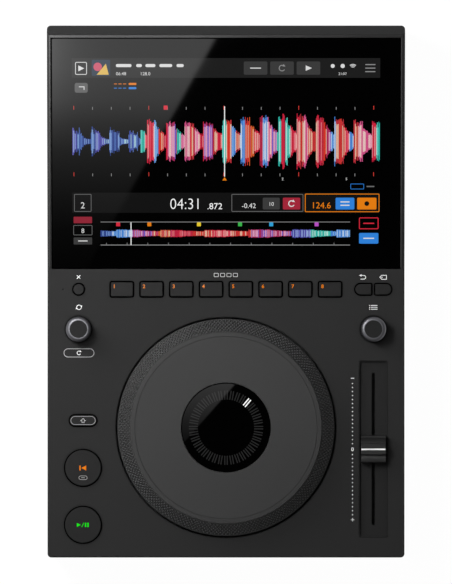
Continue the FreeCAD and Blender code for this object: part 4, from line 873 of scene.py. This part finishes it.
# Hues of a run of bars: main, second and core
warm = [("#d3243f", "#e8506a", "#f0a8a4"), ("#d8588c", "#e88ab0", "#f0c8c4"),
        ("#2fb5a6", "#5fd0c4", "#c8ece0"), ("#c0323c", "#e03828", "#e8b8a0"),
        ("#4a86d8", "#7fb0e8", "#c8d8f0"), ("#d8602e", "#c84468", "#ecc8a8"),
        ("#b03060", "#7a60c8", "#e0a0c0"), ("#d3243f", "#b82848", "#e88890")]
cool = [("#31478e", "#4f70b8", "#7fa0d8"), ("#3d4fa4", "#5f7cc4", "#a8d0dc"),
        ("#4a4aa0", "#6a68c4", "#9ab0e0")]


def waveform(x, seed, beat):
    """Loudness along a track: an attack on every beat that decays, slow swells and fine grain."""
    random = np.random.default_rng(seed)
    quietest, loudest = 0.05, 1.0
    phase = (x / beat) % 1.0
    burst = np.where(phase < 0.5, 1.0 - 0.12 * phase, np.exp(-1.5 * (phase - 0.5)) * 0.74)
    swell = 0.86 + 0.14 * np.sin(x * 0.045 + 1.0)
    grain = random.uniform(0.82, loudest, len(x))
    return np.clip(burst * swell * grain, quietest, loudest)


def wave_bars(d, x, loud, centre, reach, bar, run, palette, seed):
    """Bars of a waveform: stripes of two hues with a paler core, and new hues after each run."""
    bar_fill = 0.84
    short_bar, short_core = 0.82, 0.8
    random = np.random.default_rng(seed)
    picks = random.integers(0, len(palette), 400)
    for at, height, chance in zip(x, loud, random.uniform(0, 1, len(x))):
        first, second, core = palette[picks[int(at / run)]]
        colour = first if chance < 0.68 else second
        half = reach * height * (1.0 if chance < 0.8 else short_bar)
        right = at + bar * bar_fill
        d.rectangle(at, centre - half, right, centre + half, colour, 1)
        if 0.3 < chance < 0.62:
            d.rectangle(at, centre - half * short_core, right, centre + half * short_core, core, 2)


def loop_arrow(d, x, y, width, colour, level):
    """Open circle with an arrow head at its upper end."""
    d.arc(x, y, 2.0, 60, 330, width, colour, level)
    d.arrow_head(x + 1.4, y + 1.7, 1.2, -30, colour, level)


def screen_header(d):
    """Header with a tile, a title bar of plain dashes, three buttons and status icons."""
    top = picture_height
    d.rectangle(0, top - 14.0, picture_width, top, "#1c1c1c")
    d.rounded(14.0, top - 12.6, 27.0, top - 1.2, 0.8, "#26384a", 1)
    d.disc(18.2, top - 6.2, 3.0, "#c8536c", 2)
    d.polygon([(17.5, top - 11.8), (26.0, top - 11.8), (24.0, top - 4.0)], "#d9b45a", 2)
    dashes = (11, 4, 7, 9, 5)
    for k, length in enumerate(dashes):
        start = 31.0 + sum(dashes[:k]) * 1.12 + k * 2.0
        d.rounded(start, top - 6.4, start + length, top - 4.2, 1.0, pale, 1)
    d.text("06:48", 31.0, top - 12.2, 2.4, pale, 1, middle=False)
    d.text("128.0", 48.0, top - 12.2, 2.4, pale, 1, middle=False)
    button_pitch = 18.6
    for k in range(3):
        d.rounded(121.0 + k * button_pitch, top - 11.8, 137.6 + k * button_pitch, top - 2.4, 0.9,
                  plain_button, 1)
    d.line([(125.5, top - 7.1), (133.1, top - 7.1)], 0.7, pale, 2)
    loop_arrow(d, 147.9, top - 7.1, 0.6, dim, 2)
    d.polygon([(164.6, top - 9.0), (169.0, top - 7.1), (164.6, top - 5.2)], pale, 2)
    d.disc(183.6, top - 5.6, 1.4, pale, 1)
    d.disc(190.6, top - 5.6, 1.5, pale, 1)
    for radius in (1.2, 2.1, 3.0):
        d.arc(197.8, top - 7.4, radius, 45, 135, 0.5, pale, 1)
    d.text("21:07", 190.5, top - 12.0, 1.9, pale, 1)
    for k in range(3):
        d.line([(206.5, top - 4.6 - k * 2.5), (213.6, top - 4.6 - k * 2.5)], 0.7, dim, 1)
    d.frame(2.6, top - 11.6, 10.4, top - 3.0, 0.8, 0.5, pale, 1)
    d.polygon([(4.6, top - 9.4), (4.6, top - 5.2), (8.8, top - 7.3)], pale, 1)
    # Return key below the header, rows of dashes and a small framed dash
    d.rounded(2.0, top - 24.6, 11.2, top - 17.6, 1.4, "#5a5a5a", 1)
    d.line([(8.6, top - 22.6), (8.6, top - 20.4), (5.0, top - 20.4)], 0.6, pale, 2)
    d.arrow_head(4.4, top - 20.4, 1.2, 180, pale)
    for rise, colour in ((18.6, orange), (21.6, blue)):
        for k in range(3):
            d.rectangle(29.6 + k * 3.2, top - rise, 31.8 + k * 3.2, top - rise + 0.5, colour, 1)
        d.rounded(40.0, top - rise - 0.5, 45.4, top - rise + 1.0, 0.5, colour, 1)
    d.frame(196.4, 42.4, 205.6, 46.0, 0.4, 0.35, blue, 1)
    d.rectangle(207.6, 43.8, 213.0, 44.6, outline, 1)


def screen_waveform(d):
    """Scrolling waveform with its beat marks and its playing line."""
    centre = picture_height - 59.3
    beat = 13.2
    reach, bar, run = 20.4, 0.5, 3.2
    x = np.arange(0.4, picture_width - 0.4, bar)
    loud = waveform(x, 5, beat)
    opening = x < 48
    wave_bars(d, x[opening], loud[opening] ** 3 * 0.5 + 0.06, centre, reach, bar, run, cool, 3)
    wave_bars(d, x[~opening], loud[~opening], centre, reach, bar, run, warm, 8)
    for k in range(17):
        at = (k + 0.1) * beat
        major = k % 4 == 0
        colour = "#d04038" if major else "#8c8c8c"
        for y in (centre + 22.6, centre - 24.8):
            d.rectangle(at - 0.2, y, at + 0.2, y + (2.8 if major else 2.0), colour, 5)
    d.rectangle(107.2, centre - 25.0, 107.8, centre + 25.0, "#f2f2f2", 6)
    d.polygon([(105.9, centre - 27.8), (109.1, centre - 27.8), (107.5, centre - 25.4)], orange, 6)
    d.rounded(64.6, centre + 22.6, 67.4, centre + 25.6, 0.4, red, 6)
    for k, number in enumerate(("2", "5")):
        d.text(number, 148.4 + k * 45.0, centre - 27.6, 1.9, pale, 6)


def screen_time_row(d):
    """Row with the deck's number, the time and the tempo."""
    row = picture_height - 110.2
    d.rectangle(0, row, picture_width, row + 14.4, dark)
    d.frame(1.6, row + 1.0, 13.4, row + 13.2, 0.5, 0.4, outline, 1)
    d.text("2", 7.5, row + 3.2, 4.6, pale, 2)
    d.text("04:31", 80.0, row + 2.6, 8.2, "#f4f4f4", 2, squeeze=0.9, weight=-0.012)
    d.text(".872", 100.6, row + 2.6, 4.6, "#f4f4f4", 2)
    d.frame(112.6, row + 1.0, 162.8, row + 13.2, 0.5, 0.4, outline, 1)
    d.text("-0.42", 124.6, row + 3.4, 3.6, pale, 2)
    for left, width, colour in ((134.4, 12.0, plain_button), (148.6, 12.2, "#a02638"),
                                (185.8, 13.2, blue), (201.0, 13.6, orange)):
        d.rounded(left, row + 2.4, left + width, row + 10.8, 0.8, colour, 2)
    d.text("10", 140.4, row + 5.0, 2.8, pale, 3)
    loop_arrow(d, 154.7, row + 6.6, 0.7, pale, 3)
    d.frame(164.4, row + 0.8, picture_width - 0.6, row + 13.4, 0.5, 0.55, orange, 1)
    d.text("124.6", 175.6, row + 3.2, 4.6, orange, 2)
    d.line([(189.2, row + 5.4), (195.6, row + 5.4)], 0.8, pale, 3)
    d.line([(189.2, row + 7.8), (195.6, row + 7.8)], 0.8, pale, 3)
    d.disc(207.8, row + 6.6, 1.7, dark, 3)


def screen_overview(d):
    """Overview strip with coloured markers, and the small keys at both sides of it."""
    low = 2.4
    base = low + 8.2
    left, right, bar = 20.0, 196.0, 0.4
    x = np.arange(left, right, bar)
    wave_bars(d, x, 0.35 + 0.65 * waveform(x, 11, 31.0), base, 3.2, bar, 14.0, warm + cool, 21)
    d.rectangle(left, base + 8.0, right, base + 8.5, "#7a7a7a", 1)
    d.rectangle(left, low - 0.2, right, low + 0.2, "#9a9a9a", 1)
    d.rectangle(41.2, low, 41.8, base + 8.0, "#f2f2f2", 4)
    for at, colour in zip((31.0, 53.0, 88.0, 117.0, 139.0, 171.0),
                          (red, orange, "#e3c52d", "#38b14a", "#2f9fd6", "#b44fc0")):
        d.rounded(at, base + 5.2, at + 2.8, base + 8.0, 0.3, colour, 4)
    tick_pitch = 14.6
    for k in range(12):
        at = 24.0 + k * tick_pitch
        d.rectangle(at, low + 0.2, at + 0.25, low + 1.6, "#9a9a9a", 3)
    d.rounded(1.0, low + 15.6, 14.0, low + 20.2, 0.5, "#8e2434", 1)
    d.text("8", 7.5, low + 8.6, 3.4, pale, 1)
    d.frame(1.0, low + 7.2, 14.0, low + 14.0, 0.5, 0.35, outline, 1)
    d.rounded(1.0, low + 0.4, 14.0, low + 5.4, 0.5, plain_button, 1)
    d.line([(4.2, low + 2.9), (10.8, low + 2.9)], 0.7, pale, 2)
    d.frame(202.6, low + 11.6, 215.8, low + 19.4, 0.6, 0.6, red, 1)
    d.line([(205.4, low + 15.5), (213.0, low + 15.5)], 0.8, red, 2)
    d.rounded(202.4, low + 1.0, 216.0, low + 8.6, 0.8, blue, 1)
    d.line([(205.4, low + 4.8), (213.0, low + 4.8)], 0.8, pale, 2)


screen = Drawing()
screen_header(screen)
screen_waveform(screen)
screen_time_row(screen)
screen_overview(screen)
screen.lay("screen_picture", glow_finish, "player", on_screen, step=0.006)
